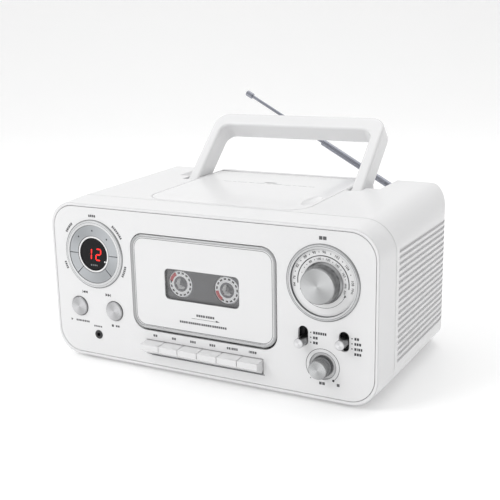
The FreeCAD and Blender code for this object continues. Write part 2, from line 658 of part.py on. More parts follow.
def make_display():
    lip = "dial_radius - display_ring"
    ring = turned("display_trim", [(lip, "-ring_stand"), ("dial_radius - 0.8", "-ring_stand"),
                                   ("dial_radius", "-0.4"), ("dial_radius", "0"),
                                   ("dial_radius - 1.05", "0"), ("dial_radius - 1.05", "6.5"),
                                   ("0", "6.5"), ("0", "5"), (lip, "5")],
                  ("-dial_x", "0", "dial_z"))
    collar = turned("display_collar", [("display_radius + 0.05", "-0.6"), ("cluster_inner - segment_gap", "-0.6"),
                                       ("cluster_inner - segment_gap", "5"), ("display_radius + 0.05", "5")],
                    ("-dial_x", "0", "dial_z"))
    part(fuse("display_ring", ring, collar), "display_ring")
    part(turned("display_glass", [("0", "-0.4"), ("display_radius - 0.6", "-0.4"), ("display_radius", "0.2"),
                                  ("display_radius", "4.9"), ("0", "4.9")],
                ("-dial_x", "0", "dial_z")), "display_window")
    lower = SIZE["lower_split"]
    for label, start, stop, depth in (("indicator_arc", 0, 180, "4.9"),
                                      ("repeat_button", 180, 270 - lower, "3.2"),
                                      ("program_button", 270 + lower, 360, "3.2")):
        part(segment(label + "_solid", start, stop, depth), label)
    key = segment("rocker_key", 270 - lower, 270 + lower, "3.0")
    pivot = rod("rocker_pivot", "1", "cluster_outer - cluster_inner - 2",
                ("-dial_x", "3", "dial_z - cluster_outer + 1"), UP)
    part(fuse("skip_rocker_solid", key, pivot), "skip_rocker")


def segment(name, start, stop, depth):
    """Piece of the ring round the display between two angles, seen from the front."""
    pieces = []
    for tag, radius in (("outer", "cluster_outer"), ("inner", "cluster_inner")):
        piece = doc.addObject("Part::Cylinder", "%s_%s" % (name, tag))
        trim = math.degrees(SIZE["segment_gap"] / SIZE["cluster_outer"])
        piece.Angle = stop - start - 2 * trim
        bind(piece, Radius=radius, Height="segment_stand + " + depth)
        turn = Rotation(Vector(0, -1, 0), start + trim) * Rotation(Vector(1, 0, 0), 90)
        place(piece, "-dial_x", depth, "dial_z", turn)
        pieces.append(piece)
    return cut(name, *pieces)


def push_button(label, x):
    profile = [("0", "-button_stand"), ("button_radius - 0.8", "-button_stand"),
               ("button_radius", "0.8 - button_stand"), ("button_radius", "panel_thick + 0.2"),
               ("button_radius + 1.4", "panel_thick + 0.2"), ("button_radius + 1.4", "panel_thick + 1.2"),
               ("0", "panel_thick + 1.2")]
    part(turned(label + "_solid", profile, (x, "0", "button_z")), label)


def make_tuner():
    lip = "dial_radius - ring_width"
    part(turned("tuning_trim", [(lip, "-ring_stand"), ("dial_radius - 0.8", "-ring_stand"),
                                ("dial_radius", "-0.4"), ("dial_radius", "0"),
                                ("dial_radius - 1.05", "0"), ("dial_radius - 1.05", "3.8"),
                                ("shaft_radius + 1", "3.8"), ("shaft_radius + 1", "2.4"), (lip, "2.4")],
                ("dial_x", "0", "dial_z")), "tuning_ring")
    part(turned("scale_disc", [("shaft_radius + 1", "0.6"), ("scale_radius", "0.6"), ("scale_radius", "2.3"),
                               ("shaft_radius + 1", "2.3")],
                ("dial_x", "0", "dial_z")), "tuning_scale")
    part(turned("tuning_knob_solid", [("0", "-knob_stand"), ("tuning_face - 0.6", "-knob_stand"),
                                      ("tuning_face", "0.6 - knob_stand"), ("tuning_face + 1", "-2"),
                                      ("tuning_base", "-0.4"), ("tuning_base", "0.2"),
                                      ("shaft_radius", "0.2"), ("shaft_radius", "12"), ("0", "12")],
                ("dial_x", "0", "dial_z")), "tuning_knob")
    case = block("capacitor_case", ("dial_x - 12", "dial_x + 12"), ("4.2", "22"), ("dial_z - 12", "dial_z + 12"))
    bore = rod("capacitor_bore", "shaft_radius + running", "9", ("dial_x", "4", "dial_z"))
    part(cut("tuning_capacitor", case, bore), "tuning_capacitor")


def make_volume():
    part(turned("volume_knob_solid", [("0", "0.1 - knob_stand"), ("volume_face - 0.5", "0.1 - knob_stand"),
                                      ("volume_face", "0.6 - knob_stand"), ("volume_base", "-0.8"),
                                      ("volume_base", "dish_depth - 0.4"), ("shaft_radius", "dish_depth - 0.4"),
                                      ("shaft_radius", "11"), ("0", "11")],
                ("dial_x", "0", "volume_z")), "volume_knob")


def slide_knob(label, x, z):
    """Round knob on a thin stem that reaches into its switch."""
    cap = turned(label + "_cap", [("0", "-slider_stand"), ("slider_radius - 0.4", "-slider_stand"),
                                  ("slider_radius", "0.4 - slider_stand"), ("slider_radius", "panel_thick + 1"),
                                  ("0", "panel_thick + 1")], (x, "0", z))
    stem = block(label + "_stem", (x + " - 1", x + " + 1"), ("panel_thick", "panel_thick + 5"),
                 (z + " - 1.5", z + " + 1.5"))
    part(fuse(label + "_solid", cap, stem), label)


def make_control_board():
    """Board behind the right-hand controls, with the slide switches and the volume control."""
    back = "panel_thick + 7"
    board = block("control_plate", ("band_x - 10", "function_x + 10"), (back, back + " + 1.6"),
                  ("volume_z - 11", "slot_z + 14"))
    bodies = [board]
    for tag, x in (("band", "band_x"), ("function", "function_x")):
        case = block(tag + "_case", (x + " - 5", x + " + 5"), ("panel_thick + 3", back),
                     ("slot_z - 11", "slot_z + 11"))
        slot = block(tag + "_groove", (x + " - 1.3", x + " + 1.3"), ("panel_thick + 2", "panel_thick + 5.4"),
                     ("slot_z - slide_step - 2", "slot_z + slide_step + 2"))
        bodies.append(cut(tag + "_switch", case, slot))
    at = ("dial_x", "0", "volume_z")
    bodies.append(turned("volume_pot", [("0", "panel_thick + 0.1"), ("5", "panel_thick + 0.1"), ("5", "5"),
                                        ("8.5", "5"), ("8.5", "14"), ("0", "14")], at))
    bore = rod("volume_bore", "shaft_radius + running", "12", at)
    part(cut("control_board", fuse("control_parts", *bodies), bore), "control_board")


def make_jack():
    part(turned("jack_solid", [("jack_bore", "-0.4"), ("jack_radius + 0.5", "-0.4"), ("jack_radius + 0.5", "0"),
                               ("jack_radius", "0"), ("jack_radius", "jack_depth - 0.4"),
                               ("jack_bore", "jack_depth - 0.4")],
                ("-dial_x", "0", "jack_z")), "headphone_jack")


# ---- cassette door, cassette and deck ----------------------------------------------

def make_door():
    half = "door_width / 2"
    skin = rounded("door_skin_plate", ("-(%s)" % half, half), ("0.1", "door_skin"), ("door_base", "door_top"), 1,
                   [("door_corner", every)])
    win = ("-window_width / 2", "window_width / 2")
    glass_z = ("reel_z - window_height / 2", "reel_z + window_height / 2")
    hole = rounded("door_window_hole", win, ("-1", "door_skin + 1"), glass_z, 1, [("window_corner", every)])
    rails = []
    wide = "cassette_width / 2 + 0.6"
    floor = "reel_z - reel_below"
    for sign, tag in (("", "right"), ("-", "left")):
        x_wall = (wide, wide + " + 2") if sign == "" else ("-(%s + 2)" % wide, "-(%s)" % wide)
        x_lip = (wide + " - 14", wide + " + 2") if sign == "" else ("-(%s + 2)" % wide, "-(%s - 14)" % wide)
        rails.append(block(tag + "_rail", x_wall, ("door_skin", "cassette_face + cassette_thick"),
                           ("door_pivot_z - pivot_pin", "reel_z + 20")))
        rails.append(block(tag + "_lip", x_lip, ("door_skin", "cassette_face + cassette_thick"),
                           (floor + " - 2", floor + " - 0.4")))
        start = wide + " + 2" if sign == "" else "-(%s + 5.8)" % wide
        rails.append(rod(tag + "_door_pin", "pivot_pin", "3.8", (start, "door_pivot_y", "door_pivot_z"), TO_RIGHT))
    frame = cut("door_plate", skin, hole, chin_bevel())
    part(fuse("cassette_door", frame, *rails), "cassette_door")
    part(rounded("window_pane", ("-window_width / 2 + 0.1", "window_width / 2 - 0.1"), ("0.3", "door_skin - 0.1"),
                 ("reel_z - window_height / 2 + 0.1", "reel_z + window_height / 2 - 0.1"), 1,
                 [("window_corner - 0.1", every)]), "door_window")


def chin_bevel():
    """Bevel under the door's front edge, which lets it swing past the panel."""
    return side_prism("door_chin_bevel", [("-1", "door_base - 1"), ("1.5", "door_base - 1"),
                                          ("1.5", "door_base"), ("0.1", "door_base + 3"),
                                          ("-1", "door_base + 3")],
                      ("-door_width / 2 - 1", "door_width / 2 + 1"))


def make_cassette():
    half = "cassette_width / 2"
    floor = "reel_z - reel_below"
    shell = rounded("cassette_block", ("-(%s)" % half, half), ("cassette_face", "cassette_face + cassette_thick"),
                    (floor, floor + " + cassette_height"), 1, [("3", every)])
    swell = front_prism("tape_edge", [("-34", floor), ("34", floor), ("31", floor + " + 15"),
                                      ("-31", floor + " + 15")],
                        ("cassette_face - cassette_swell", "cassette_face + cassette_thick + cassette_swell"))
    voids = [block("head_opening", ("-19.5", "10"), ("0", "cassette_face + 12"), (floor + " - 1", floor + " + 8"))]
    for sign, tag in (("", "right"), ("-", "left")):
        notch = ("capstan_x - 6.2", "capstan_x + 6.2") if sign == "" else ("-(capstan_x + 6.2)", "-(capstan_x - 6.2)")
        voids.append(block(tag + "_roller_notch", notch, ("0", "cassette_face + 12"),
                           (floor + " - 1", floor + " + 9.8")))
        x = sign + "reel_x"
        voids.append(rod(tag + "_hub_hole", "reel_radius + 0.4", "16", (x, "0", "reel_z")))
        voids.append(rod(tag + "_tape_space", "reel_x - 0.4", "4.8",
                         (x, "cassette_face + cassette_thick / 2 - 2.4", "reel_z")))
    part(cut("cassette_shell", fuse("cassette_body", shell, swell), *voids), "cassette_shell")
    for label, x, tape in (("left_reel", "-reel_x", "left_tape"), ("right_reel", "reel_x", "right_tape")):
        part(reel(label, x, tape), label)


def reel(label, x, tape):
    """Hub with drive teeth inside and the wound tape round it."""
    middle = "cassette_face + cassette_thick / 2"
    start, end = "cassette_face + 0.5", "cassette_face + cassette_thick - 0.5"
    pieces = [turned(label + "_hub", [("reel_bore", start), ("reel_radius", start),
                                      ("reel_radius", middle + " - 1.9"), (tape, middle + " - 1.9"),
                                      (tape, middle + " + 1.9"), ("reel_radius", middle + " + 1.9"),
                                      ("reel_radius", end), ("reel_bore", end)], (x, "0", "reel_z"))]
    for number in range(REEL_TEETH):
        tooth = doc.addObject("Part::Box", "%s_tooth%d" % (label, number))
        bind(tooth, Length="reel_bore - reel_tooth + 0.5", Width="cassette_thick - 1", Height="1.2")
        spun = Rotation(Vector(0, 1, 0), 360 * number / REEL_TEETH)
        centre = spin_place(tooth, x, start, "reel_z", spun, Vector(SIZE["reel_tooth"], 0, -0.6))
        pieces.append(centre)
    return fuse(label + "_solid", *pieces)


def spin_place(thing, x, y, z, turn, arm):
    """Place a thing at the end of an arm that is turned about a centre."""
    offset = turn.multVec(arm)
    return place(thing, "(%s) + (%.6f)" % (x, offset.x), "(%s) + (%.6f)" % (y, offset.y),
                 "(%s) + (%.6f)" % (z, offset.z), turn)


def make_spindle(label, x):
    tip = "cassette_face + 1.4"
    pieces = [turned(label + "_shaft", [("0", tip), ("1.4", tip), ("spindle_radius", tip + " + 2.4"),
                                        ("spindle_radius", "chassis_y - 6"), ("9", "chassis_y - 6"),
                                        ("9", "chassis_y - 2"), ("2", "chassis_y - 2"), ("2", "chassis_y + 4"),
                                        ("8", "chassis_y + 4"), ("8", "chassis_y + 8"), ("0", "chassis_y + 8")],
                     (x, "0", "reel_z"))]
    for number in range(SPINDLE_FINS):
        fin = doc.addObject("Part::Box", "%s_fin%d" % (label, number))
        bind(fin, Length="fin_radius", Width="6", Height="1")
        spun = Rotation(Vector(0, 1, 0), 360 * number / SPINDLE_FINS + 30)
        pieces.append(spin_place(fin, x, tip + " + 2.2", "reel_z", spun, Vector(0, 0, -0.5)))
    part(fuse(label + "_solid", *pieces), label)


def make_chassis():
    plate = block("chassis_plate", ("-chassis_half", "chassis_half"), ("chassis_y", "chassis_y + chassis_thick"),
                  ("9", "120"))
    adds = [plate, rod("capstan_bearing", "3.2", "flywheel_y - chassis_y - 1",
                       ("capstan_x", "chassis_y", "capstan_z"))]
    voids = [rod("capstan_bore", "capstan_radius + running", "30", ("capstan_x", "chassis_y - 1", "capstan_z"))]
    pin_start = "cassette_width / 2 + 0.6 + 2"
    for sign, tag in (("", "right"), ("-", "left")):
        near, far = pin_start + " + 1.2", pin_start + " + 3.6"
        x_arm = (near, far) if sign == "" else ("-(%s)" % far, "-(%s)" % near)
        adds.append(block(tag + "_door_arm", x_arm, ("door_pivot_y", "chassis_y"),
                          ("door_pivot_z - 2.2", "door_pivot_z + 2.2")))
        adds.append(rod(tag + "_door_eye", "2.2", "2.4", (x_arm[0], "door_pivot_y", "door_pivot_z"), TO_RIGHT))
        key_cheek = ("key_first + 6 * key_pitch + 1", "key_first + 6 * key_pitch + 3")
        cheek = key_cheek if sign == "" else ("key_first - 3.6", "key_first - 1.6")
        adds.append(block(tag + "_key_cheek", cheek, ("key_shaft_y - 4", "chassis_y"), ("9", "21")))
        voids.append(rod(tag + "_spindle_bore", "2 + running", "8", (sign + "reel_x", "chassis_y - 2", "reel_z")))
        for z in ("29", "116"):
            height = "low" if z == "29" else "high"
            x_post = "door_width / 2 + 4.8"
            adds.append(rod("%s_%s_post" % (tag, height), "3", "chassis_y - panel_thick",
                            (sign + "(%s)" % x_post, "panel_thick", z)))
    voids.append(rod("door_pin_bore", "pivot_pin + running", "2 * (%s + 4)" % pin_start,
                     ("-(%s + 4)" % pin_start, "door_pivot_y", "door_pivot_z"), TO_RIGHT))
    shaft = rod("key_shaft", "key_shaft_radius", "6 * key_pitch + 6.6",
                ("key_first - 3.6", "key_shaft_y", "key_shaft_z"), TO_RIGHT)
    part(fuse("deck_chassis", cut("chassis_frame", fuse("chassis_body", *adds), *voids), shaft), "deck_chassis")


def make_drive():
    """Flywheel on the capstan, motor, its pulley and the belt that joins them."""
    rim = "flywheel_radius"
    back = "flywheel_y + flywheel_thick"
    part(turned("flywheel_solid", [("0", "cassette_face + 4"), ("capstan_radius", "cassette_face + 4"),
                                   ("capstan_radius", "flywheel_y - 0.8"), ("4", "flywheel_y - 0.8"),
                                   ("4", "flywheel_y + 1"), (rim + " - 4", "flywheel_y + 1"),
                                   (rim + " - 4", "flywheel_y"), (rim, "flywheel_y"), (rim, back), ("0", back)],
                ("capstan_x", "0", "capstan_z")), "flywheel")
    part(turned("motor_solid", [("0", "chassis_y + chassis_thick"), ("motor_radius", "chassis_y + chassis_thick"),
                                ("motor_radius", "flywheel_y - 2"), ("5", "flywheel_y - 2"),
                                ("5", "flywheel_y - 1"), ("1.05", "flywheel_y - 1"),
                                ("1.05", "flywheel_y - 7"), ("0", "flywheel_y - 7")],
                ("motor_x", "0", "capstan_z")), "deck_motor")
    part(turned("pulley_solid", [("0", "flywheel_y - 6.5"), ("1", "flywheel_y - 6.5"), ("1", "flywheel_y - 0.5"),
                                 ("pulley_radius + 1.5", "flywheel_y - 0.5"),
                                 ("pulley_radius + 1.5", "flywheel_y + 1"), ("pulley_radius", "flywheel_y + 1.5"),
                                 ("pulley_radius", "flywheel_y + 4.5"),
                                 ("pulley_radius + 1.5", "flywheel_y + 5"), ("pulley_radius + 1.5", back),
                                 ("0", back)],
                ("motor_x", "0", "capstan_z")), "motor_pulley")
    belt = doc.addObject("Part::Feature", "belt_solid")
    slack = 0.1
    outer = belt_loop(slack + SIZE["belt_thick"])
    inner = belt_loop(slack)
    belt.Shape = outer.cut(inner)
    belt.Placement = Placement(Vector(0, panel_plane() + SIZE["flywheel_y"] + 2, SIZE["foot_stand"]), Rotation())
    part(belt, "drive_belt")


def panel_plane():
    return doc.getObject("Sizes").panel_y


def belt_loop(grow):
    """Prism inside a belt round the flywheel and the pulley."""
    wheel = Vector(SIZE["capstan_x"], 0, SIZE["capstan_z"])
    pulley = Vector(SIZE["motor_x"], 0, SIZE["capstan_z"])
    wide, narrow = SIZE["flywheel_radius"] + grow, SIZE["pulley_radius"] + grow
    lean = math.acos((wide - narrow) / (wheel - pulley).Length)

    def rim(centre, radius, angle):
        return centre + Vector(radius * math.cos(angle), 0, radius * math.sin(angle))

    wheel_top, wheel_low = rim(wheel, wide, math.pi - lean), rim(wheel, wide, math.pi + lean)
    pulley_top, pulley_low = rim(pulley, narrow, math.pi - lean), rim(pulley, narrow, math.pi + lean)
    edges = [
        Part.Arc(wheel_low, rim(wheel, wide, 0), wheel_top).toShape(),
        Part.LineSegment(wheel_top, pulley_top).toShape(),
        Part.Arc(pulley_top, rim(pulley, narrow, math.pi), pulley_low).toShape(),
        Part.LineSegment(pulley_low, wheel_low).toShape(),
    ]
    return Part.Face(Part.Wire(edges)).extrude(Vector(0, 2, 0))


def make_heads():
    """Head plate with the play and erase heads, and the pinch roller on its axle."""
    low = "reel_z - reel_below - 10.5"
    roller_z = "capstan_z - capstan_radius - roller_radius - roller_gap - head_lift"
    top = "reel_z - reel_below - 1"
    pieces = [block("head_base", ("-20", "capstan_x + 8"), ("chassis_y - 3.4", "chassis_y - 1.9"), ("22.6", top)),
              block("play_head", ("-6.5", "6.5"), ("cassette_face + 0.6", "chassis_y - 3"), (low, top)),
              block("erase_head", ("-18", "-11"), ("cassette_face + 1.4", "chassis_y - 3"), (low, top)),
              rod("roller_axle", "1.2", "chassis_y - cassette_face - 4",
                  ("capstan_x", "cassette_face + 1", roller_z))]
    part(fuse("head_plate_solid", *pieces), "head_plate")
    part(turned("roller_solid", [("1.2 + running", "cassette_face + 1.6"), ("roller_radius", "cassette_face + 1.6"),
                                 ("roller_radius", "cassette_face + 7.6"), ("1.2 + running", "cassette_face + 7.6")],
                ("capstan_x", "0", roller_z)), "pinch_roller")


def make_keys():
    """Six piano keys on one shaft."""
    cap = [("-key_stand", "key_chin"), ("-1.3", "key_foot"), ("-0.9", "key_foot + 1.8"), ("3.4", "key_foot + 1.8"),
           ("3.4", "key_top"), ("0", "key_top"), ("-key_stand", "key_lip")]
    arm = [("3", "key_foot + 1.8"), ("key_shaft_y", "key_shaft_z - 3"), ("key_shaft_y", "key_shaft_z + 3"),
           ("3", "key_top - 2")]
    for number, label in enumerate(KEYS):
        left = "key_first + %d * key_pitch" % number
        face = side_prism(label + "_cap", cap, (left, left + " + key_pitch - key_gap"))
        lever = side_prism(label + "_lever", arm, (left + " + 5", left + " + 12"))
        boss = rod(label + "_boss", "3", "7", (left + " + 5", "key_shaft_y", "key_shaft_z"), TO_RIGHT)
        bore = rod(label + "_bore", "key_shaft_radius + running", "9",
                   (left + " + 4", "key_shaft_y", "key_shaft_z"), TO_RIGHT)
        part(cut(label + "_solid", fuse(label + "_body", face, lever, boss), bore), label)


# ---- CD part -----------------------------------------------------------------------

def make_lid():
    back = "lid_pivot_y"
    plan = rounded("lid_plan", ("-lid_half", "lid_half"), ("lid_front", back),
                   ("body_height - 10", "body_height + back_rise + 1"), 2,
                   [("lid_corner", lambda x, y, z: y < 0.5)])
    front_top, back_top = TOP % "(lid_front - 2)", TOP % back
    slab = side_prism("lid_slab", [("lid_front - 2", front_top + " - lid_thick"), (back, back_top + " - lid_thick"),
                                   (back, back_top), ("lid_front - 2", front_top)],
                      ("-lid_half - 1", "lid_half + 1"))
    barrel = rod("lid_barrel_rod", "lid_barrel", "2 * lid_half", ("-lid_half", back, back_top + " - lid_barrel"),
                 TO_RIGHT)
    scoop = doc.addObject("Part::Ellipsoid", "lid_scoop")
    bind(scoop, Radius1="3", Radius2="6.5", Radius3="18")
    place(scoop, "lid_half - 8", "lid_front + 36", TOP % "(lid_front + 36)" + " + 1")
    part(cut("cd_lid_solid", fuse("lid_body", common("lid_sheet", plan, slab), barrel), scoop), "cd_lid")


def make_disc_tray():
    tray = block("tray_block", ("-lid_half + 1.2", "lid_half - 1.2"), ("seam_depth + 2", "lid_pivot_y - 5.5"),
                 ("well_floor - 2", "well_top"))
    well = rod("disc_well", "well_radius", "20", ("0", "disc_y", "well_floor"), UP)
    hub = rod("platter_hole", "platter_radius + 1.5", "20", ("0", "disc_y", "well_floor - 10"), UP)
    slot = block("lens_slot", ("platter_radius", "well_radius - 8"), ("disc_y - 9", "disc_y + 9"),
                 ("well_floor - 10", "well_floor + 1"))
    part(cut("cd_well", tray, well, hub, slot), "cd_well")
    part(turned("platter_solid", [("0", "-3"), ("platter_radius", "-3"), ("platter_radius", "0.5"),
                                  ("7.3", "0.5"), ("7.3", "3"), ("5.5", "5.5"), ("0", "5.5")],
                ("0", "disc_y", "well_floor + 1"), UP), "cd_turntable")
    base = block("mechanism_base", ("-28", "64"), ("disc_y - 24", "disc_y + 24"), ("well_floor - 14", "well_floor - 12"))
    pieces = [base, rod("disc_motor", "11", "8", ("0", "disc_y", "well_floor - 12"), UP)]
    for sign in ("+", "-"):
        y = "disc_y %s 15" % sign
        pieces.append(rod("sled_rail_" + ("back" if sign == "+" else "front"), "1.2", "44",
                          ("18", y, "well_floor - 7"), TO_RIGHT))
        for x in ("18", "60"):
            pieces.append(block("rail_stand_%s_%s" % ("back" if sign == "+" else "front", x),
                                (x, x + " + 2"), (y + " - 2.5", y + " + 2.5"),
                                ("well_floor - 12.5", "well_floor - 5")))
    part(fuse("cd_mechanism", *pieces), "cd_mechanism")
    sled = block("sled_block", ("30", "46"), ("disc_y - 18", "disc_y + 18"), ("well_floor - 10", "well_floor - 4"))
    lens = rod("sled_lens", "3.5", "6", ("38", "disc_y", "well_floor - 4"), UP)
    bores = [rod("sled_bore" + sign, "1.2 + running", "20", ("28", "disc_y %s1 * 15" % sign, "well_floor - 7"),
                 TO_RIGHT) for sign in ("+", "-")]
    part(cut("cd_sled_solid", fuse("sled_body", sled, lens), *bores), "cd_sled")


# ---- handle ------------------------------------------------------------------------

def make_handle():
    """U-shaped handle, drawn upright at its pivot and then leant back."""
    body = doc.addObject("PartDesign::Body", "handle_frame")
    frame = body.newObject("PartDesign::AdditiveBox", "handle_block")
    bind(frame, Length="2 * handle_half", Width="handle_depth", Height="handle_length")
    attach(frame, "-handle_half", "-handle_depth / 2", "0")
    doc.recompute()
    outer = add_fillet(body, frame, "handle_corner", lambda e: along_y(e) and e.CenterOfMass.z > 1)
    gap = body.newObject("PartDesign::SubtractiveBox", "handle_gap")
    bind(gap, Length="2 * (handle_half - arm_width)", Width="handle_depth + 2",
         Height="handle_length - grip_thick + 1")
    attach(gap, "-(handle_half - arm_width)", "-handle_depth / 2 - 1", "-1")
    doc.recompute()
    inner_half = SIZE["handle_half"] - SIZE["arm_width"] + 1
    grip_low = SIZE["handle_length"] - SIZE["grip_thick"]
    inner = add_fillet(body, gap, "handle_inner",
                       lambda e: along_y(e) and abs(e.CenterOfMass.x) < inner_half
                       and abs(e.CenterOfMass.z - grip_low) < 0.1)
    add_fillet(body, inner, "handle_edge",
               lambda e: abs(abs(e.CenterOfMass.y) - SIZE["handle_depth"] / 2) < 0.01 and e.BoundBox.ZMax > 1)
    lean = Rotation(Vector(1, 0, 0), -SIZE["handle_lean"])
    place(body, "0", "handle_y", "handle_z", lean)
    ends, holes = [], []
    for sign, tag in (("", "right"), ("-", "left")):
        start = "handle_half - arm_width" if sign == "" else "-handle_half"
        ends.append(rod(tag + "_arm_end", "handle_depth / 2", "arm_width", (start, "handle_y", "handle_z"),
                        TO_RIGHT))
        holes.append(rod(tag + "_arm_bore", "handle_pin + running", "arm_width + 2",
                         (start + " - 1", "handle_y", "handle_z"), TO_RIGHT))
    part(cut("handle_solid", fuse("handle_body", body, *ends), *holes), "handle")


def attach(feature, x, y, z):
    """Offset of a primitive feature inside its body."""
    for axis, expression in zip("xyz", (x, y, z)):
        feature.setExpression("AttachmentOffset.Base." + axis, cell(expression))
    feature.MapMode = "ObjectXY"
    support = [f for f in feature.getParentGeoFeatureGroup().Origin.OriginFeatures if f.Role == "XY_Plane"][0]
    feature.AttachmentSupport = (support, [""])


def along_y(edge):
    box = edge.BoundBox
    return box.XLength < 0.01 and box.ZLength < 0.01


def add_fillet(body, base, radius, test):
    fillet = body.newObject("PartDesign::Fillet", "%s_%s" % (body.Name, radius))
    names = ["Edge%d" % i for i, edge in enumerate(base.Shape.Edges, start=1) if test(edge)]
    fillet.Base = (base, names)
    bind(fillet, Radius=radius)
    body.Tip = fillet
    doc.recompute()
    return fillet


# ---- antenna -----------------------------------------------------------------------

def antenna_frame():
    """Turn that takes local +Y to the antenna's direction and local +X square to its plane of tilt."""
    raised = math.radians(SIZE["antenna_angle"])
    along = Vector(-math.cos(raised), 0, math.sin(raised))
    across = Vector(math.sin(raised), 0, math.cos(raised))
    return Rotation(across, along, Vector(0, -1, 0), "XYZ")


def on_antenna(thing, arm):
    """Place a thing by the offset of its corner from the antenna's pin, in the antenna's own axes."""
    return spin_place(thing, "antenna_x", "body_depth + antenna_off", "antenna_z", antenna_frame(), arm)


def antenna_tube(name, profile):
    return turned(name, profile, ("antenna_x", "body_depth + antenna_off", "antenna_z"), antenna_frame())


def make_antenna():
    """Swivel in the back, and a tube, a middle tube and a rod that slide in each other."""
    post = rod("swivel_post", "swivel_radius", "antenna_off + swivel_fork + wall",
               ("antenna_x", "body_depth - wall", "antenna_z"))
    slot = doc.addObject("Part::Box", "swivel_slot")
    bind(slot, Length="4.4", Width="40", Height="swivel_fork + 7")
    on_antenna(slot, Vector(-2.2, -20, -(SIZE["swivel_fork"] + 1)))
    pins = []
    for name, radius, half in (("tilt_pin", "1.2", 5.0), ("tilt_bore", "1.2 + running", 6.0)):
        pin = doc.addObject("Part::Cylinder", name)
        bind(pin, Radius=radius, Height=str(2 * half))
        spin_place(pin, "antenna_x", "body_depth + antenna_off", "antenna_z",
                   antenna_frame() * Rotation(Vector(0, 1, 0), 90), Vector(0, 0, -half))
        pins.append(pin)
    part(fuse("antenna_swivel", cut("swivel_fork", post, slot), pins[0]), "antenna_swivel")
    tang = doc.addObject("Part::Box", "antenna_tang")
    bind(tang, Length="3.6", Width="12.5", Height="5")
    on_antenna(tang, Vector(-1.8, -2.5, -2.5))
    outer_bore = "tube_radius - tube_wall"
    tube = antenna_tube("outer_tube", [("0", "8.5"), ("tube_radius", "8.5"), ("tube_radius", "tube_length"),
                                       (outer_bore, "tube_length"), (outer_bore, "12"), ("0", "12")])
    part(cut("antenna_tube", fuse("outer_tube_and_tang", tang, tube), pins[1]), "antenna_tube")
    middle = "tube_radius - tube_wall - running"
    middle_bore = "rod_radius + running"
    part(antenna_tube("middle_tube", [(middle_bore, "14"), (middle, "14"), (middle, "tube_length + 0.5"),
                                      (middle_bore, "tube_length + 0.5")]), "antenna_middle_tube")
    end = "tube_length + rod_out"
    part(antenna_tube("rod_solid", [("0", "tube_length - 8"), ("rod_radius", "tube_length - 8"),
                                    ("rod_radius", end + " - cap_length"), ("cap_radius", end + " - cap_length"),
                                    ("cap_radius", end + " - 0.6"), ("cap_radius - 0.6", end), ("0", end)]),
         "antenna_rod")


# ---- inside the cabinet ------------------------------------------------------------

def make_speakers():
    profile = [("0", "11"), ("8", "11"), ("33", "1.4"), ("33", "0"), ("speaker_radius", "0"),
               ("speaker_radius", "2"), ("35", "2.4"), ("17", "18"), ("17", "21"), ("21", "21"), ("21", "32"),
               ("0", "32")]
    for label, x, turn in (("left_speaker", "-(body_width / 2 - wall - 0.6)", TO_RIGHT),
                           ("right_speaker", "body_width / 2 - wall - 0.6", TO_LEFT)):
        part(turned(label + "_solid", profile, (x, "speaker_y", "speaker_z"), turn), label)


def make_power():
    core = block("core", ("-124", "-84"), ("108", "146"), ("wall", "38"))
    coil = block("coil", ("-117", "-91"), ("104", "150"), ("9", "32"))
    part(fuse("transformer", core, coil), "transformer")
    flange = block("inlet_flange", ("inlet_x - 13", "inlet_x + 13"), ("body_depth", "body_depth + 1.5"),
                   ("inlet_z - 9", "inlet_z + 9"))
    case = block("inlet_case", ("inlet_x - 11", "inlet_x + 11"), ("body_depth - 15", "body_depth"),
                 ("inlet_z - 7", "inlet_z + 7"))
    socket = rounded("inlet_socket", ("inlet_x - 7.8", "inlet_x + 7.8"), ("body_depth - 12", "body_depth + 3"),
                     ("inlet_z - 4.2", "inlet_z + 4.2"), 1, [("4.19", every)])
    prongs = [rod("inlet_prong" + tag, "1.2", "9", (x, "body_depth - 12.5", "inlet_z"))
              for tag, x in (("_right", "inlet_x + 4.4"), ("_left", "inlet_x - 4.4"))]
    part(fuse("ac_inlet", cut("inlet_shell", fuse("inlet_body", flange, case), socket), *prongs), "ac_inlet")


def make_battery_bay():
    back = "body_depth - wall"
    front = back + " - bay_depth"
    case = block("bay_case", ("-bay_half - bay_wall", "bay_half + bay_wall"), (front + " - bay_wall", back),
                 ("bay_base - bay_wall", "bay_top + bay_wall"))
    middle = "(bay_base + bay_top) / 2"
    rows = [block("bay_lower", ("-bay_half", "bay_half"), (front, back + " + 1"), ("bay_base", middle + " - 0.75")),
            block("bay_upper", ("-bay_half", "bay_half"), (front, back + " + 1"), (middle + " + 0.75", "bay_top"))]
    part(cut("battery_case", case, *rows), "battery_case")
    inner, outer = back + " + 0.1", "body_depth"
    low, high = "bay_base + cover_gap", "bay_top - cover_gap"
    lid = side_prism("cover_plate", [(inner, low), (outer + " - 1.5", low), (outer, low + " + 1.5"),
                                     (outer, high), (inner, high)],
                     ("-bay_half + cover_gap", "bay_half - cover_gap"))
    pin = rod("cover_pin_rod", "cover_pin", "2 * bay_half + 3",
              ("-bay_half - 1.5", "body_depth - cover_pin_y", low + " + cover_pivot"), TO_RIGHT)
    part(fuse("battery_cover", lid, pin), "battery_cover")


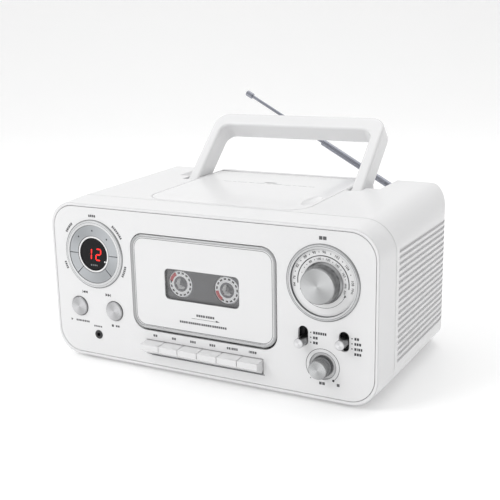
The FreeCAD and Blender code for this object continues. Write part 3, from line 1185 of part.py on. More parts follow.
def make_boards():
    board = block("board_plate", ("-68", "68"), ("52", "140"), ("wall + 2", "wall + 3.6"))
    pieces = [board]
    for number, x in enumerate(("-56", "-20", "30")):
        pieces.append(block("chip%d" % number, (x, x + " + 18"), ("70", "82"), ("wall + 3.6", "wall + 6.6")))
    for number, x in enumerate(("-50", "-32", "-14", "4", "22", "40")):
        pieces.append(rod("electrolytic%d" % number, "4", "12", (x, "112", "wall + 3.6"), UP))
    for number, (x, y) in enumerate((("-64", "56"), ("64", "56"), ("-64", "136"), ("64", "136"))):
        pieces.append(rod("board_post%d" % number, "2.5", "2", (x, y, "wall"), UP))
    part(fuse("main_board", *pieces), "main_board")


def check_and_export():
    doc.recompute()
    for thing in doc.Objects:
        if "Invalid" in thing.State or "Error" in thing.State:
            raise RuntimeError("%s failed: %s" % (thing.Name, thing.State))
    labels = [thing.Label for thing in PARTS]
    if len(set(labels)) != len(labels):
        raise RuntimeError("two sub-parts share a label")
    for thing in PARTS:
        shape = thing.Shape
        if shape.isNull() or not shape.isValid() or not shape.Solids:
            raise RuntimeError("%s has no valid solid" % thing.Label)
    os.makedirs("parts", exist_ok=True)
    for thing in PARTS:
        thing.Shape.exportStep("parts/%s.step" % thing.Label)
    print("%d sub-parts written" % len(PARTS))


make_sheet()
make_front_cabinet()
make_rear_cabinet()
make_cabinet_trim()
make_front_panel()
make_display()
push_button("play_button", "-play_x")
push_button("stop_button", "-stop_x")
make_tuner()
make_volume()
slide_knob("band_knob", "band_x", "slot_z - slide_step")
slide_knob("function_knob", "function_x", "slot_z")
make_control_board()
make_jack()
make_door()
make_cassette()
make_spindle("left_spindle", "-reel_x")
make_spindle("right_spindle", "reel_x")
make_chassis()
make_drive()
make_heads()
make_keys()
make_lid()
make_disc_tray()
make_handle()
make_antenna()
make_speakers()
make_power()
make_battery_bay()
make_boards()
check_and_export()
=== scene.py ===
import math

import bpy
from mathutils import Matrix, Vector


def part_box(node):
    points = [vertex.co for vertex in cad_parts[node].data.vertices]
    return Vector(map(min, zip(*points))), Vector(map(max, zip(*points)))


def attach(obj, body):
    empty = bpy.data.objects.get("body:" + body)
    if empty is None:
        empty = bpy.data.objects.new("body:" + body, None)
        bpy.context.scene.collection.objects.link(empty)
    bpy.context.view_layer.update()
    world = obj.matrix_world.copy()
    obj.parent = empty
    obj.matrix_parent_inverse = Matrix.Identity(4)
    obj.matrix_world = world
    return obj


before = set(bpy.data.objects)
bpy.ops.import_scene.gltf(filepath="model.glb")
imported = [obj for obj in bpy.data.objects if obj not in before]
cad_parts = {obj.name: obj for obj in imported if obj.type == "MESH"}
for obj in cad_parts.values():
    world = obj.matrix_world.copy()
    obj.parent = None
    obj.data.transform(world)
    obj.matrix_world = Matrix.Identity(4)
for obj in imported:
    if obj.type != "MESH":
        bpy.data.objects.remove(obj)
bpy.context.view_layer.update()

MM = 0.001
PANEL_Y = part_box("front_panel")[0].y
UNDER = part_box("front_cabinet")[0].z
BACK_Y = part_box("battery_cover")[1].y


def middle(node):
    low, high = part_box(node)
    return (low + high) / 2


def size(node):
    low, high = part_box(node)
    return high - low


# ---- shader building -----------------------------------------------------------------

class Nodes:
    """Short way to build a material's node tree."""

    def __init__(self, name):
        self.material = bpy.data.materials.new(name)
        self.material.use_nodes = True
        self.tree = self.material.node_tree
        self.tree.nodes.clear()
        self.output = self.add("ShaderNodeOutputMaterial")
        self.shader = self.add("ShaderNodeBsdfPrincipled")
        self.link(self.shader.outputs[0], self.output.inputs["Surface"])
        self.coords = self.add("ShaderNodeTexCoord")

    def add(self, kind, **values):
        node = self.tree.nodes.new(kind)
        for key, value in values.items():
            if hasattr(node, key) and key not in node.inputs:
                setattr(node, key, value)
            else:
                node.inputs[key.replace("_", " ")].default_value = value
        return node

    def link(self, source, target):
        self.tree.links.new(source, target)

    def noise(self, scale, detail=3.0, where=None):
        node = self.add("ShaderNodeTexNoise", Scale=scale, Detail=detail)
        self.link(where or self.coords.outputs["Object"], node.inputs["Vector"])
        return node.outputs["Fac"]

    def ramp(self, factor, low, high):
        node = self.add("ShaderNodeMapRange")
        self.link(factor, node.inputs["Value"])
        node.inputs["To Min"].default_value = low
        node.inputs["To Max"].default_value = high
        return node.outputs["Result"]

    def blend(self, factor, first, second):
        node = self.add("ShaderNodeMix", data_type="RGBA")
        if hasattr(factor, "links"):
            self.link(factor, node.inputs["Factor"])
        else:
            node.inputs["Factor"].default_value = factor
        for index, colour in ((6, first), (7, second)):
            if hasattr(colour, "links"):
                self.link(colour, node.inputs[index])
            else:
                node.inputs[index].default_value = (*colour, 1)
        return node.outputs[2]

    def maths(self, operation, first, second=0.0):
        node = self.add("ShaderNodeMath", operation=operation)
        for index, value in enumerate((first, second)):
            if hasattr(value, "links"):
                self.link(value, node.inputs[index])
            else:
                node.inputs[index].default_value = value
        return node.outputs[0]

    def set(self, **values):
        for key, value in values.items():
            self.shader.inputs[key.replace("_", " ")].default_value = value


def surface(name, colour, rough=0.3, metal=0.0, coat=0.0, grain=0.0, grain_size=2500, mottle=0.03,
            edge=0.0, glow=0.0, ior=1.5):
    """Moulded or painted surface with faint mottling, uneven gloss, grain and softened edges."""
    n = Nodes(name)
    dark = tuple(c * (1 - mottle) for c in colour)
    n.link(n.blend(n.noise(35), dark, colour), n.shader.inputs["Base Color"])
    spread = rough * 0.1
    n.link(n.ramp(n.noise(160), rough - spread, rough + spread), n.shader.inputs["Roughness"])
    n.set(Metallic=metal, Coat_Weight=coat, Coat_Roughness=0.08, IOR=ior)
    normal = None
    if edge:
        bevel = n.add("ShaderNodeBevel", samples=4, Radius=edge * MM)
        normal = bevel.outputs[0]
    if grain:
        bump = n.add("ShaderNodeBump", Strength=grain, Distance=0.0002)
        n.link(n.noise(grain_size, 2), bump.inputs["Height"])
        if normal:
            n.link(normal, bump.inputs["Normal"])
        normal = bump.outputs[0]
    if normal:
        n.link(normal, n.shader.inputs["Normal"])
    # Emission: a lamp for the LED digits, an even bright floor, and a painted glow on the reel white, which
    # is no lamp.
    if glow:
        n.set(Emission_Color=(*colour, 1), Emission_Strength=glow)
    return n.material


def spun(name, centre, colour, rough=0.28, aniso=0.75, rings=900, edge=0.3, painted_glint_contrast=0.22, painted_glint_phase=0.6):
    """Metal turned on a lathe about +Y: painted highlight in bright and dark sectors runs out from the
    centre, and painted shade darkens the sides.
    """
    n = Nodes(name)
    offset = n.add("ShaderNodeVectorMath", operation="SUBTRACT")
    n.link(n.coords.outputs["Object"], offset.inputs[0])
    offset.inputs[1].default_value = centre
    across = n.add("ShaderNodeVectorMath", operation="CROSS_PRODUCT")
    across.inputs[0].default_value = (0, 1, 0)
    n.link(offset.outputs[0], across.inputs[1])
    unit = n.add("ShaderNodeVectorMath", operation="NORMALIZE")
    n.link(across.outputs[0], unit.inputs[0])
    world = n.add("ShaderNodeVectorTransform", vector_type="VECTOR", convert_from="OBJECT",
                  convert_to="WORLD")
    n.link(unit.outputs[0], world.inputs[0])
    n.link(world.outputs[0], n.shader.inputs["Tangent"])
    flat = n.add("ShaderNodeVectorMath", operation="MULTIPLY")
    n.link(offset.outputs[0], flat.inputs[0])
    flat.inputs[1].default_value = (1, 0, 1)
    length = n.add("ShaderNodeVectorMath", operation="LENGTH")
    n.link(flat.outputs[0], length.inputs[0])
    scaled = n.maths("MULTIPLY", length.outputs["Value"], rings * 10.0)
    grooves = n.add("ShaderNodeTexNoise", noise_dimensions="1D", Scale=1.0, Detail=2.0)
    n.link(scaled, grooves.inputs["W"])
    # Painted highlight: bright and dark sectors round the axis are mixed into the base colour.
    parts = n.add("ShaderNodeSeparateXYZ")
    n.link(offset.outputs[0], parts.inputs[0])
    turn = n.maths("ARCTAN2", parts.outputs["Z"], parts.outputs["X"])
    wave = n.maths("SINE", n.maths("ADD", n.maths("MULTIPLY", turn, 2.0), painted_glint_phase))
    painted_glint_wedges = n.maths("MULTIPLY_ADD", wave, 0.5)
    painted_glint_wedges.node.inputs[2].default_value = 0.5
    fine = n.blend(grooves.outputs["Fac"], tuple(c * 0.86 for c in colour), colour)
    painted_glint = n.blend(painted_glint_wedges, tuple(c * (1 - painted_glint_contrast) for c in colour),
                  tuple(min(1, c * (1 + painted_glint_contrast)) for c in colour))
    # Painted shade: the colour falls to 0.45 where the surface turns away from Y, on the sides.
    faces = n.add("ShaderNodeNewGeometry")
    direction = n.add("ShaderNodeSeparateXYZ")
    n.link(faces.outputs["Normal"], direction.inputs[0])
    facing = n.maths("ABSOLUTE", direction.outputs["Y"])
    both = n.blend(0.5, (0, 0, 0), (0, 0, 0))
    n.link(fine, both.node.inputs[6])
    n.link(painted_glint, both.node.inputs[7])
    n.link(n.blend(facing, tuple(c * 0.45 for c in colour), both), n.shader.inputs["Base Color"])
    n.link(n.ramp(grooves.outputs["Fac"], rough * 0.8, rough * 1.25), n.shader.inputs["Roughness"])
    bump = n.add("ShaderNodeBump", Strength=0.12, Distance=0.0001)
    n.link(grooves.outputs["Fac"], bump.inputs["Height"])
    if edge:
        bevel = n.add("ShaderNodeBevel", samples=4, Radius=edge * MM)
        n.link(bevel.outputs[0], bump.inputs["Normal"])
    n.link(bump.outputs[0], n.shader.inputs["Normal"])
    n.set(Metallic=1.0, Anisotropic=aniso)
    return n.material


# ---- mesh building -------------------------------------------------------------------

def add_mesh(name, points, faces, material, body, smooth=False):
    mesh = bpy.data.meshes.new(name)
    mesh.from_pydata([tuple(p) for p in points], [], faces)
    mesh.validate()
    mesh.update()
    if smooth:
        mesh.polygons.foreach_set("use_smooth", [True] * len(mesh.polygons))
    thing = bpy.data.objects.new(name, mesh)
    bpy.context.scene.collection.objects.link(thing)
    mesh.materials.append(material)
    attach(thing, body)
    return thing


def skin(name, loops, material, body, closed=True, caps=(False, False), ring=False, smooth=False):
    """Quads between consecutive loops of points; closed joins each loop's ends, ring joins last to first."""
    count = len(loops[0])
    points = [p for loop in loops for p in loop]
    faces = []
    pairs = list(zip(range(len(loops)), range(1, len(loops))))
    if ring:
        pairs.append((len(loops) - 1, 0))
    for first, second in pairs:
        for i in range(count if closed else count - 1):
            j = (i + 1) % count
            faces.append((first * count + i, first * count + j, second * count + j, second * count + i))
    if caps[0]:
        faces.append(tuple(reversed(range(count))))
    if caps[1]:
        start = (len(loops) - 1) * count
        faces.append(tuple(range(start, start + count)))
    if not closed and ring:
        faces.append(tuple(i * count for i in reversed(range(len(loops)))))
        faces.append(tuple(i * count + count - 1 for i in range(len(loops))))
    return add_mesh(name, points, faces, material, body, smooth)


def arc_points(centre, radius, y, start=0.0, stop=360.0, steps=96):
    """Points round a centre in a plane of constant y, angles as seen from the front."""
    full = abs(stop - start) >= 360
    count = steps if full else max(3, int(steps * abs(stop - start) / 360) + 1)
    last = count if full else count - 1
    points = []
    for i in range(count):
        angle = math.radians(start + (stop - start) * i / last)
        points.append(Vector((centre.x + radius * MM * math.cos(angle), y,
                              centre.z + radius * MM * math.sin(angle))))
    return points


def band(name, centre, inner, outer, front, back, material, body, start=0.0, stop=360.0, steps=96):
    """Flat ring or arc: radii in mm, front and back as y in metres."""
    loops = [arc_points(centre, r, y, start, stop, steps)
             for r, y in ((inner, front), (outer, front), (outer, back), (inner, back))]
    return skin(name, loops, material, body, closed=abs(stop - start) >= 360, ring=True)


def lathe(name, centre, profile, material, body, steps=96):
    """Closed ring with a (radius mm, y m) section."""
    loops = [arc_points(centre, r, y, steps=steps) for r, y in profile]
    return skin(name, loops, material, body, ring=True, smooth=False)


def section(inner, outer, front, back):
    """Cross-section of a flat ring or border line."""
    return [(inner, front), (outer, front), (outer, back), (inner, back)]


def disc(name, centre, radius, y, material, body, steps=48, thick=0.05):
    loops = [arc_points(centre, radius, y + thick * MM, steps=steps),
             arc_points(centre, radius, y, steps=steps)]
    return skin(name, loops, material, body, caps=(True, True))


def rounded_rect(low, high, radius, y, steps=10):
    """Loop round a rectangle in a plane of constant y; low and high are (x, z), radius in metres."""
    points = []
    for cx, cz, turn in ((high[0] - radius, high[1] - radius, 0), (low[0] + radius, high[1] - radius, 90),
                         (low[0] + radius, low[1] + radius, 180), (high[0] - radius, low[1] + radius, 270)):
        for i in range(steps + 1):
            angle = math.radians(turn + 90 * i / steps)
            points.append(Vector((cx + radius * math.cos(angle), y, cz + radius * math.sin(angle))))
    return points


def frame_band(name, low, high, radius, profile, material, body):
    """Rounded rectangular border whose section is (inset mm, y m)."""
    loops = []
    for inset, y in profile:
        step = inset * MM
        loops.append(rounded_rect((low[0] + step, low[1] + step), (high[0] - step, high[1] - step),
                                  max(radius - step, 0.0002), y))
    return skin(name, loops, material, body, ring=True)


def slab(name, outline, front, back, material, body):
    """Prism from an outline of (x, z) points between two y planes."""
    loops = [[Vector((x, y, z)) for x, z in outline] for y in (back, front)]
    return skin(name, loops, material, body, caps=(True, True))


def bar(name, x, z, wide, tall, y, material, body, angle=0.0, thick=0.05):
    """Small printed bar centred on (x, z)."""
    turn = math.radians(angle)
    outline = []
    for dx, dz in ((-wide / 2, -tall / 2), (wide / 2, -tall / 2), (wide / 2, tall / 2),
                   (-wide / 2, tall / 2)):
        outline.append((x + dx * math.cos(turn) - dz * math.sin(turn),
                        z + dx * math.sin(turn) + dz * math.cos(turn)))
    return slab(name, outline, y, y + thick * MM, material, body)


def lettering(name, words, x, z, tall, y, material, body, angle=0.0):
    """Plain numerals standing on a plane of constant y, facing the front."""
    curve = bpy.data.curves.new(name, "FONT")
    curve.body = words
    curve.size = tall
    curve.align_x = "CENTER"
    curve.align_y = "CENTER"
    curve.extrude = 0.00002
    curve.offset = 0.00002
    curve.resolution_u = 2
    holder = bpy.data.objects.new(name + "_curve", curve)
    bpy.context.scene.collection.objects.link(holder)
    bpy.context.view_layer.update()
    mesh = bpy.data.meshes.new_from_object(holder.evaluated_get(bpy.context.evaluated_depsgraph_get()))
    bpy.data.objects.remove(holder)
    stand = Matrix.Rotation(math.pi / 2, 4, "X")
    turn = Matrix.Rotation(-math.radians(angle), 4, "Y")
    mesh.transform(Matrix.Translation((x, y, z)) @ turn @ stand)
    mesh.materials.clear()
    mesh.materials.append(material)
    thing = bpy.data.objects.new(name, mesh)
    bpy.context.scene.collection.objects.link(thing)
    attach(thing, body)
    return thing


# ---- finishes ------------------------------------------------------------------------

DISPLAY = middle("display_ring")
TUNING = middle("tuning_ring")
VOLUME = middle("volume_knob")

WHITE = surface("cabinet_white", (0.80, 0.80, 0.805), 0.30, coat=0.25, mottle=0.01, edge=1.6)
DOOR_WHITE = surface("door_white", (0.79, 0.79, 0.795), 0.24, coat=0.4, grain=0.01, mottle=0.01, edge=0.4)
KEY_WHITE = surface("key_white", (0.77, 0.77, 0.775), 0.24, coat=0.4, grain=0.01, mottle=0.01, edge=0.5)
LID_WHITE = surface("lid_white", (0.82, 0.82, 0.825), 0.24, coat=0.35, grain=0.01, mottle=0.01, edge=0.6)
RING_GREY = spun("ring_grey", TUNING, (0.60, 0.605, 0.61), 0.3, 0.5, painted_glint_contrast=0.1)
DISPLAY_GREY = spun("display_ring_grey", DISPLAY, (0.66, 0.665, 0.67), 0.3, 0.5, painted_glint_contrast=0.1)
SEGMENT_SILVER = spun("segment_silver", DISPLAY, (0.42, 0.435, 0.45), 0.34, 0.7)
TUNING_SILVER = spun("tuning_silver", TUNING, (0.47, 0.475, 0.48), 0.26, 0.8, painted_glint_contrast=0.35)
VOLUME_SILVER = spun("volume_silver", VOLUME, (0.47, 0.475, 0.48), 0.26, 0.8, painted_glint_contrast=0.35)
PLAY_SILVER = spun("play_silver", middle("play_button"), (0.50, 0.50, 0.51), 0.28, 0.8, painted_glint_contrast=0.3)
STOP_SILVER = spun("stop_silver", middle("stop_button"), (0.50, 0.50, 0.51), 0.28, 0.8, painted_glint_contrast=0.3)
BAND_SILVER = spun("band_silver", middle("band_knob"), (0.68, 0.68, 0.69), 0.3, 0.6)
FUNCTION_SILVER = spun("function_silver", middle("function_knob"), (0.68, 0.68, 0.69), 0.3, 0.6)
SCALE_WHITE = surface("scale_white", (0.84, 0.84, 0.845), 0.3, mottle=0.01)
PRINT = surface("print_black", (0.03, 0.03, 0.035), 0.5, grain=0.05)
PRINT_GREY = surface("print_grey", (0.09, 0.09, 0.095), 0.5, grain=0.05)
LINE_GREY = surface("line_grey", (0.20, 0.205, 0.215), 0.45, grain=0.03)
BORDER = surface("door_border_grey", (0.44, 0.445, 0.45), 0.25, coat=0.3, mottle=0.01, edge=0.3)
BLACK = surface("black_plastic", (0.025, 0.025, 0.027), 0.45, grain=0.1, grain_size=1800)
GLASS = surface("display_glass", (0.004, 0.004, 0.005), 0.06, mottle=0.1, ior=1.28)
LED = surface("led_red", (1.0, 0.012, 0.008), 0.5, glow=0.95)
RED = surface("reel_red", (0.72, 0.12, 0.13), 0.5, grain=0.05)
RUBBER = surface("rubber", (0.035, 0.035, 0.035), 0.8, grain=0.4, grain_size=1500, mottle=0.2)
STEEL = surface("steel", (0.58, 0.58, 0.58), 0.32, metal=1.0, grain=0.06, mottle=0.08)
CHROME = surface("antenna_chrome", (0.30, 0.31, 0.35), 0.16, metal=1.0, mottle=0.02)
BRASS = surface("brass", (0.72, 0.55, 0.28), 0.3, metal=1.0, grain=0.05, mottle=0.06)
CASSETTE = surface("cassette_grey", (0.22, 0.22, 0.225), 0.42, grain=0.1, mottle=0.04)
# Painted light: the reel white glows faintly though it is no lamp, lightening the reels behind the window.
REEL_WHITE_PAINTED_GLOW = surface("reel_white", (0.92, 0.92, 0.92), 0.4, grain=0.03, glow=0.16)
SPINDLE_GREY = surface("spindle_grey", (0.24, 0.24, 0.25), 0.45, grain=0.05)
BOARD = surface("board_green", (0.03, 0.16, 0.07), 0.4, grain=0.1, mottle=0.3)
CONE = surface("speaker_cone", (0.03, 0.03, 0.03), 0.7, grain=0.4, mottle=0.3)
TRAY = surface("tray_grey", (0.10, 0.10, 0.105), 0.4, grain=0.15, mottle=0.06)
CLOTH = surface("grille_cloth", (0.70, 0.70, 0.70), 0.85, grain=0.5, grain_size=1400, mottle=0.08)


def smoked_window():
    """Clear plastic with a faint tint and a light, slightly uneven sheen."""
    n = Nodes("smoked_window")
    clear = n.add("ShaderNodeBsdfTransparent", Color=(0.95, 0.95, 0.955, 1))
    gloss = n.add("ShaderNodeBsdfGlossy", Color=(1, 1, 1, 1), Roughness=0.08)
    n.link(n.ramp(n.noise(120), 0.05, 0.10), gloss.inputs["Roughness"])
    facing = n.add("ShaderNodeFresnel", IOR=1.42)
    mix = n.add("ShaderNodeMixShader")
    n.link(facing.outputs[0], mix.inputs[0])
    n.link(clear.outputs[0], mix.inputs[1])
    n.link(gloss.outputs[0], mix.inputs[2])
    n.link(mix.outputs[0], n.output.inputs["Surface"])
    n.tree.nodes.remove(n.shader)
    return n.material


WINDOW = smoked_window()

FINISHES = {
    "front_cabinet": WHITE, "rear_cabinet": WHITE, "battery_cover": WHITE, "cd_lid": LID_WHITE,
    "front_panel": DOOR_WHITE, "cassette_door": DOOR_WHITE, "door_window": WINDOW, "handle": DOOR_WHITE,
    "display_ring": DISPLAY_GREY, "tuning_ring": RING_GREY, "tuning_scale": SCALE_WHITE,
    "display_window": GLASS, "indicator_arc": SEGMENT_SILVER, "repeat_button": SEGMENT_SILVER,
    "program_button": SEGMENT_SILVER, "skip_rocker": SEGMENT_SILVER, "play_button": PLAY_SILVER,
    "stop_button": STOP_SILVER, "tuning_knob": TUNING_SILVER, "volume_knob": VOLUME_SILVER,
    "band_knob": BAND_SILVER, "function_knob": FUNCTION_SILVER, "headphone_jack": BLACK, "ac_inlet": BLACK,
    "battery_case": BLACK, "control_board": BLACK, "tuning_capacitor": BLACK, "rubber_feet": RUBBER,
    "pinch_roller": RUBBER, "drive_belt": RUBBER, "cabinet_screws": STEEL, "handle_pins": STEEL,
    "deck_chassis": STEEL, "deck_motor": STEEL, "head_plate": STEEL, "transformer": STEEL,
    "cd_mechanism": STEEL, "antenna_swivel": CHROME, "antenna_tube": CHROME, "antenna_middle_tube": CHROME,
    "antenna_rod": CHROME, "flywheel": BRASS, "motor_pulley": BRASS, "cassette_shell": CASSETTE,
    # The reels take the white with its painted glow.
    "left_reel": REEL_WHITE_PAINTED_GLOW, "right_reel": REEL_WHITE_PAINTED_GLOW, "left_spindle": SPINDLE_GREY,
    "right_spindle": SPINDLE_GREY, "main_board": BOARD, "left_speaker": CONE, "right_speaker": CONE,
    "cd_well": TRAY, "cd_turntable": TRAY, "cd_sled": TRAY,
}
KEYS = ("record_key", "play_key", "rewind_key", "fast_forward_key", "stop_eject_key", "pause_key")


def paint_frame():
    for node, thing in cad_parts.items():
        thing.data.materials.clear()
        thing.data.materials.append(FINISHES.get(node, KEY_WHITE))


# ---- display side --------------------------------------------------------------------

def make_display():
    """Digits, indicator lamps and dark lines of the display cluster."""
    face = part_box("display_window")[0].y - 0.06 * MM
    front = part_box("indicator_arc")[0].y - 0.03 * MM
    low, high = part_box("display_window")
    tall = (high.z - low.z) * 0.34
    digit(low.x + (high.x - low.x) * 0.33, DISPLAY.z, tall, "bc", face, "led_one")
    digit(low.x + (high.x - low.x) * 0.67, DISPLAY.z, tall, "abged", face, "led_two")
    lower = DISPLAY.z - tall * 0.98
    for i, wide in enumerate((1.2, 0.9, 1.3, 1.0)):
        bar("display_mark_%d" % i, DISPLAY.x + (i * 1.9 - 3.0) * MM, lower, wide * MM, 1.3 * MM, face,
            LINE_GREY, "cabinet")
    # Painted light: the display arrows take the reel white with its faint painted glow.
    x = high.x - 3.4 * MM
    for i in range(2):
        slab("display_arrow_%d" % i,
             [(x + i * 1.3 * MM, DISPLAY.z - 6.3 * MM), (x + (i * 1.3 + 1.2) * MM, DISPLAY.z - 5.5 * MM),
              (x + i * 1.3 * MM, DISPLAY.z - 4.7 * MM)], face, face + 0.04 * MM, REEL_WHITE_PAINTED_GLOW, "cabinet")
    for i, angle in enumerate((44, 90, 136)):
        spot = arc_points(DISPLAY, 20.2, front, angle, angle + 1, 360)[0]
        disc("indicator_lamp_%d" % i, spot, 0.75, front, PRINT, "cabinet", 16)
    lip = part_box("display_ring")[0].y
    lathe("display_outer_line", DISPLAY, section(28.95, 29.35, PANEL_Y - 0.25 * MM, PANEL_Y + 0.1 * MM),
          LINE_GREY, "cabinet")
    lathe("display_ring_groove", DISPLAY, section(26.9, 27.15, lip - 0.04 * MM, lip + 0.05 * MM),
          LINE_GREY, "cabinet")
    half = size("display_window").x / 2 / MM
    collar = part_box("display_ring")[0].y + 0.35 * MM
    lathe("display_bezel", DISPLAY,
          [(half + 0.1, collar), (half + 1.3, collar - 0.2 * MM), (half + 1.5, collar + 0.4 * MM),
                                     (half + 0.1, collar + 0.4 * MM)], SCALE_WHITE, "cabinet")


SEGMENTS = {"a": (0, 1, True), "b": (1, 0.5, False), "c": (1, -0.5, False), "d": (0, -1, True),
            "e": (-1, -0.5, False), "f": (-1, 0.5, False), "g": (0, 0, True)}


def digit(x, z, tall, segments, y, name):
    """Seven-segment digit with a slight slant."""
    wide, stroke, slant = tall * 0.5, tall * 0.12, 0.1
    for key in segments:
        side, level, flat = SEGMENTS[key]
        cz = z + level * tall / 2
        cx = x + side * wide / 2 + (cz - z) * slant
        length = (wide if flat else tall / 2) - stroke * 0.5
        half, end = length / 2, length / 2 - stroke / 2
        if flat:
            outline = [(-half, 0), (-end, -stroke / 2), (end, -stroke / 2), (half, 0), (end, stroke / 2),
                       (-end, stroke / 2)]
        else:
            outline = [(0, -half), (stroke / 2, -end), (stroke / 2, end), (0, half), (-stroke / 2, end),
                       (-stroke / 2, -end)]
        slab("%s_%s" % (name, key), [(cx + dx + dz * slant, cz + dz) for dx, dz in outline], y,
             y + 0.04 * MM, LED, "cabinet")


def marks(name, x, z, widths, y, tall=1.3, gap=0.5, material=None, body="cabinet", angle=0.0):
    """Row of short plain bars where the real object has a printed word."""
    total = sum(widths) + gap * (len(widths) - 1)
    turn = math.radians(angle)
    start = -total / 2
    for i, wide in enumerate(widths):
        along = (start + wide / 2) * MM
        bar("%s_%d" % (name, i), x + along * math.cos(turn), z + along * math.sin(turn), wide * MM,
            tall * MM, y,
            material or PRINT_GREY, body, angle)
        start += wide + gap


def arc_marks(name, centre, radius, middle_angle, widths, y, tall=2.0, gap=0.45):
    """Row of short bars that follows a circle."""
    total = sum(widths) + gap * (len(widths) - 1)
    along = -total / 2
    flip = math.sin(math.radians(middle_angle)) < -0.2
    for i, wide in enumerate(widths):
        step = math.degrees((along + wide / 2) / radius)
        angle = middle_angle + (step if flip else -step)
        spot = arc_points(centre, radius, y, angle, angle + 1, 360)[0]
        bar("%s_%d" % (name, i), spot.x, spot.z, wide * MM, tall * MM, y, PRINT_GREY, "cabinet", angle - 90)
        along += wide + gap


def triangle(name, x, z, wide, tall, y, material=None):
    """Arrowhead that points along +x, or -x where wide is negative."""
    slab(name, [(x, z - tall / 2), (x + wide, z), (x, z + tall / 2)], y, y + 0.05 * MM, material or PRINT,
         "cabinet")


TRAY_LINE = 11.2       # line under the keys, mm above the cabinet's underside


def make_panel_print():
    """Plain bars, arrows and squares printed on the front panel."""
    y = PANEL_Y - 0.06 * MM
    arc_marks("ring_label_top", DISPLAY, 32.6, 90, (1.4, 1.5, 1.3, 1.5), y)
    arc_marks("ring_label_left", DISPLAY, 32.6, 140, (1.2, 1.5, 1.0, 1.5, 1.2, 1.4), y)
    arc_marks("ring_label_right", DISPLAY, 32.6, 40, (1.3, 1.0, 1.5, 1.2, 1.5, 1.0, 1.4, 1.2), y)
    arc_marks("ring_label_repeat", DISPLAY, 32.4, 202, (1.3, 1.5, 1.0, 1.4), y)
    arc_marks("ring_label_program", DISPLAY, 32.4, 338, (1.3, 1.5, 1.0, 1.4, 1.2, 1.3), y)
    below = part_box("display_ring")[0].z - 5.2 * MM
    for side, x in ((-1, DISPLAY.x - 9.5 * MM), (1, DISPLAY.x + 9.5 * MM)):
        for i in range(2):
            triangle("skip_arrow_%d_%d" % (side, i), x + side * i * 2.4 * MM, below, side * 2.4 * MM,
                     2.6 * MM, y)
        bar("skip_bar_%d" % side, x + side * 5.1 * MM, below, 0.5 * MM, 2.6 * MM, y, PRINT, "cabinet")
    play, stop = middle("play_button"), middle("stop_button")
    drop = size("play_button").z / 2 + 3.4 * MM
    triangle("play_mark", play.x - 10.5 * MM, play.z - drop, 2.0 * MM, 2.2 * MM, y)
    marks("play_label", play.x + 2.0 * MM, play.z - drop, (1.5, 1.3, 1.5, 0.6, 1.4, 1.5, 1.3, 1.5), y, 1.6)
    bar("stop_mark", stop.x - 2.8 * MM, stop.z - drop, 2.0 * MM, 2.0 * MM, y, PRINT, "cabinet")
    marks("stop_label", stop.x + 2.2 * MM, stop.z - drop, (1.7, 1.6), y, 1.7)
    jack = middle("headphone_jack")
    marks("jack_label", jack.x - 0.5 * MM, jack.z + 7.2 * MM, (1.3, 1.0, 1.4, 1.2, 1.4), y, 1.4)
    marks("tuning_label", TUNING.x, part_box("tuning_ring")[1].z + 4.6 * MM, (2.6, 2.7), y, 2.6, 0.5)
    keys_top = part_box("record_key")[1].z
    for i, key in enumerate(KEYS):
        widths = ((1.6, 1.6), (1.6, 1.6), (1.4, 1.5, 1.3), (1.5, 1.4, 1.3), (1.2, 1.4, 0.5, 1.5, 1.3, 1.2),
                  (0.6, 1.5, 1.4, 1.6))[i]
        marks("key_label_%d" % i, middle(key).x, keys_top + 4.6 * MM, widths, y, 1.9)
    first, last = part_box("record_key")[0].x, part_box("pause_key")[1].x
    line_z = UNDER + TRAY_LINE * MM
    slab("tray_line", [(first + 5 * MM, line_z - 0.4 * MM), (last + 1.5 * MM, line_z - 0.4 * MM),
                       (last + 1.5 * MM, line_z + 0.4 * MM),
                       (first + 4.4 * MM, line_z + 0.4 * MM)], y, y + 0.05 * MM, LINE_GREY, "cabinet")
    slab("tray_line_end", [(first + 4.4 * MM, line_z + 0.4 * MM), (first + 2.6 * MM, line_z + 2.2 * MM),
                           (first + 2.2 * MM, line_z + 1.6 * MM),
                           (first + 5 * MM, line_z - 0.4 * MM)], y, y + 0.05 * MM, LINE_GREY, "cabinet")
    switch_print(y)
    volume_print(y)


def switch_print(y):
    for name, rows in (("band_knob", ((1.5, 1.6, 1.3, 1.4, 1.2, 1.3), (1.5, 1.7), (1.6, 1.7))),
                       ("function_knob", ((1.5, 1.5), (1.3, 1.4, 1.5), (1.4, 0.7, 1.4, 1.2),
                                          (1.5, 1.5, 1.4)))):
        x = middle(name).x + 5.6 * MM
        top = TUNING.z - 39.0 * MM
        for row, widths in enumerate(rows):
            z = top - row * 3.9 * MM
            if row < 3:
                bar("%s_dot_%d" % (name, row), x + 0.6 * MM, z, 0.9 * MM, 0.9 * MM, y, PRINT, "cabinet")
            marks("%s_label_%d" % (name, row), x + (2.2 + sum(widths) / 2 + 0.25 * len(widths)) * MM, z,
                  widths, y, 2.0, 0.45, PRINT)


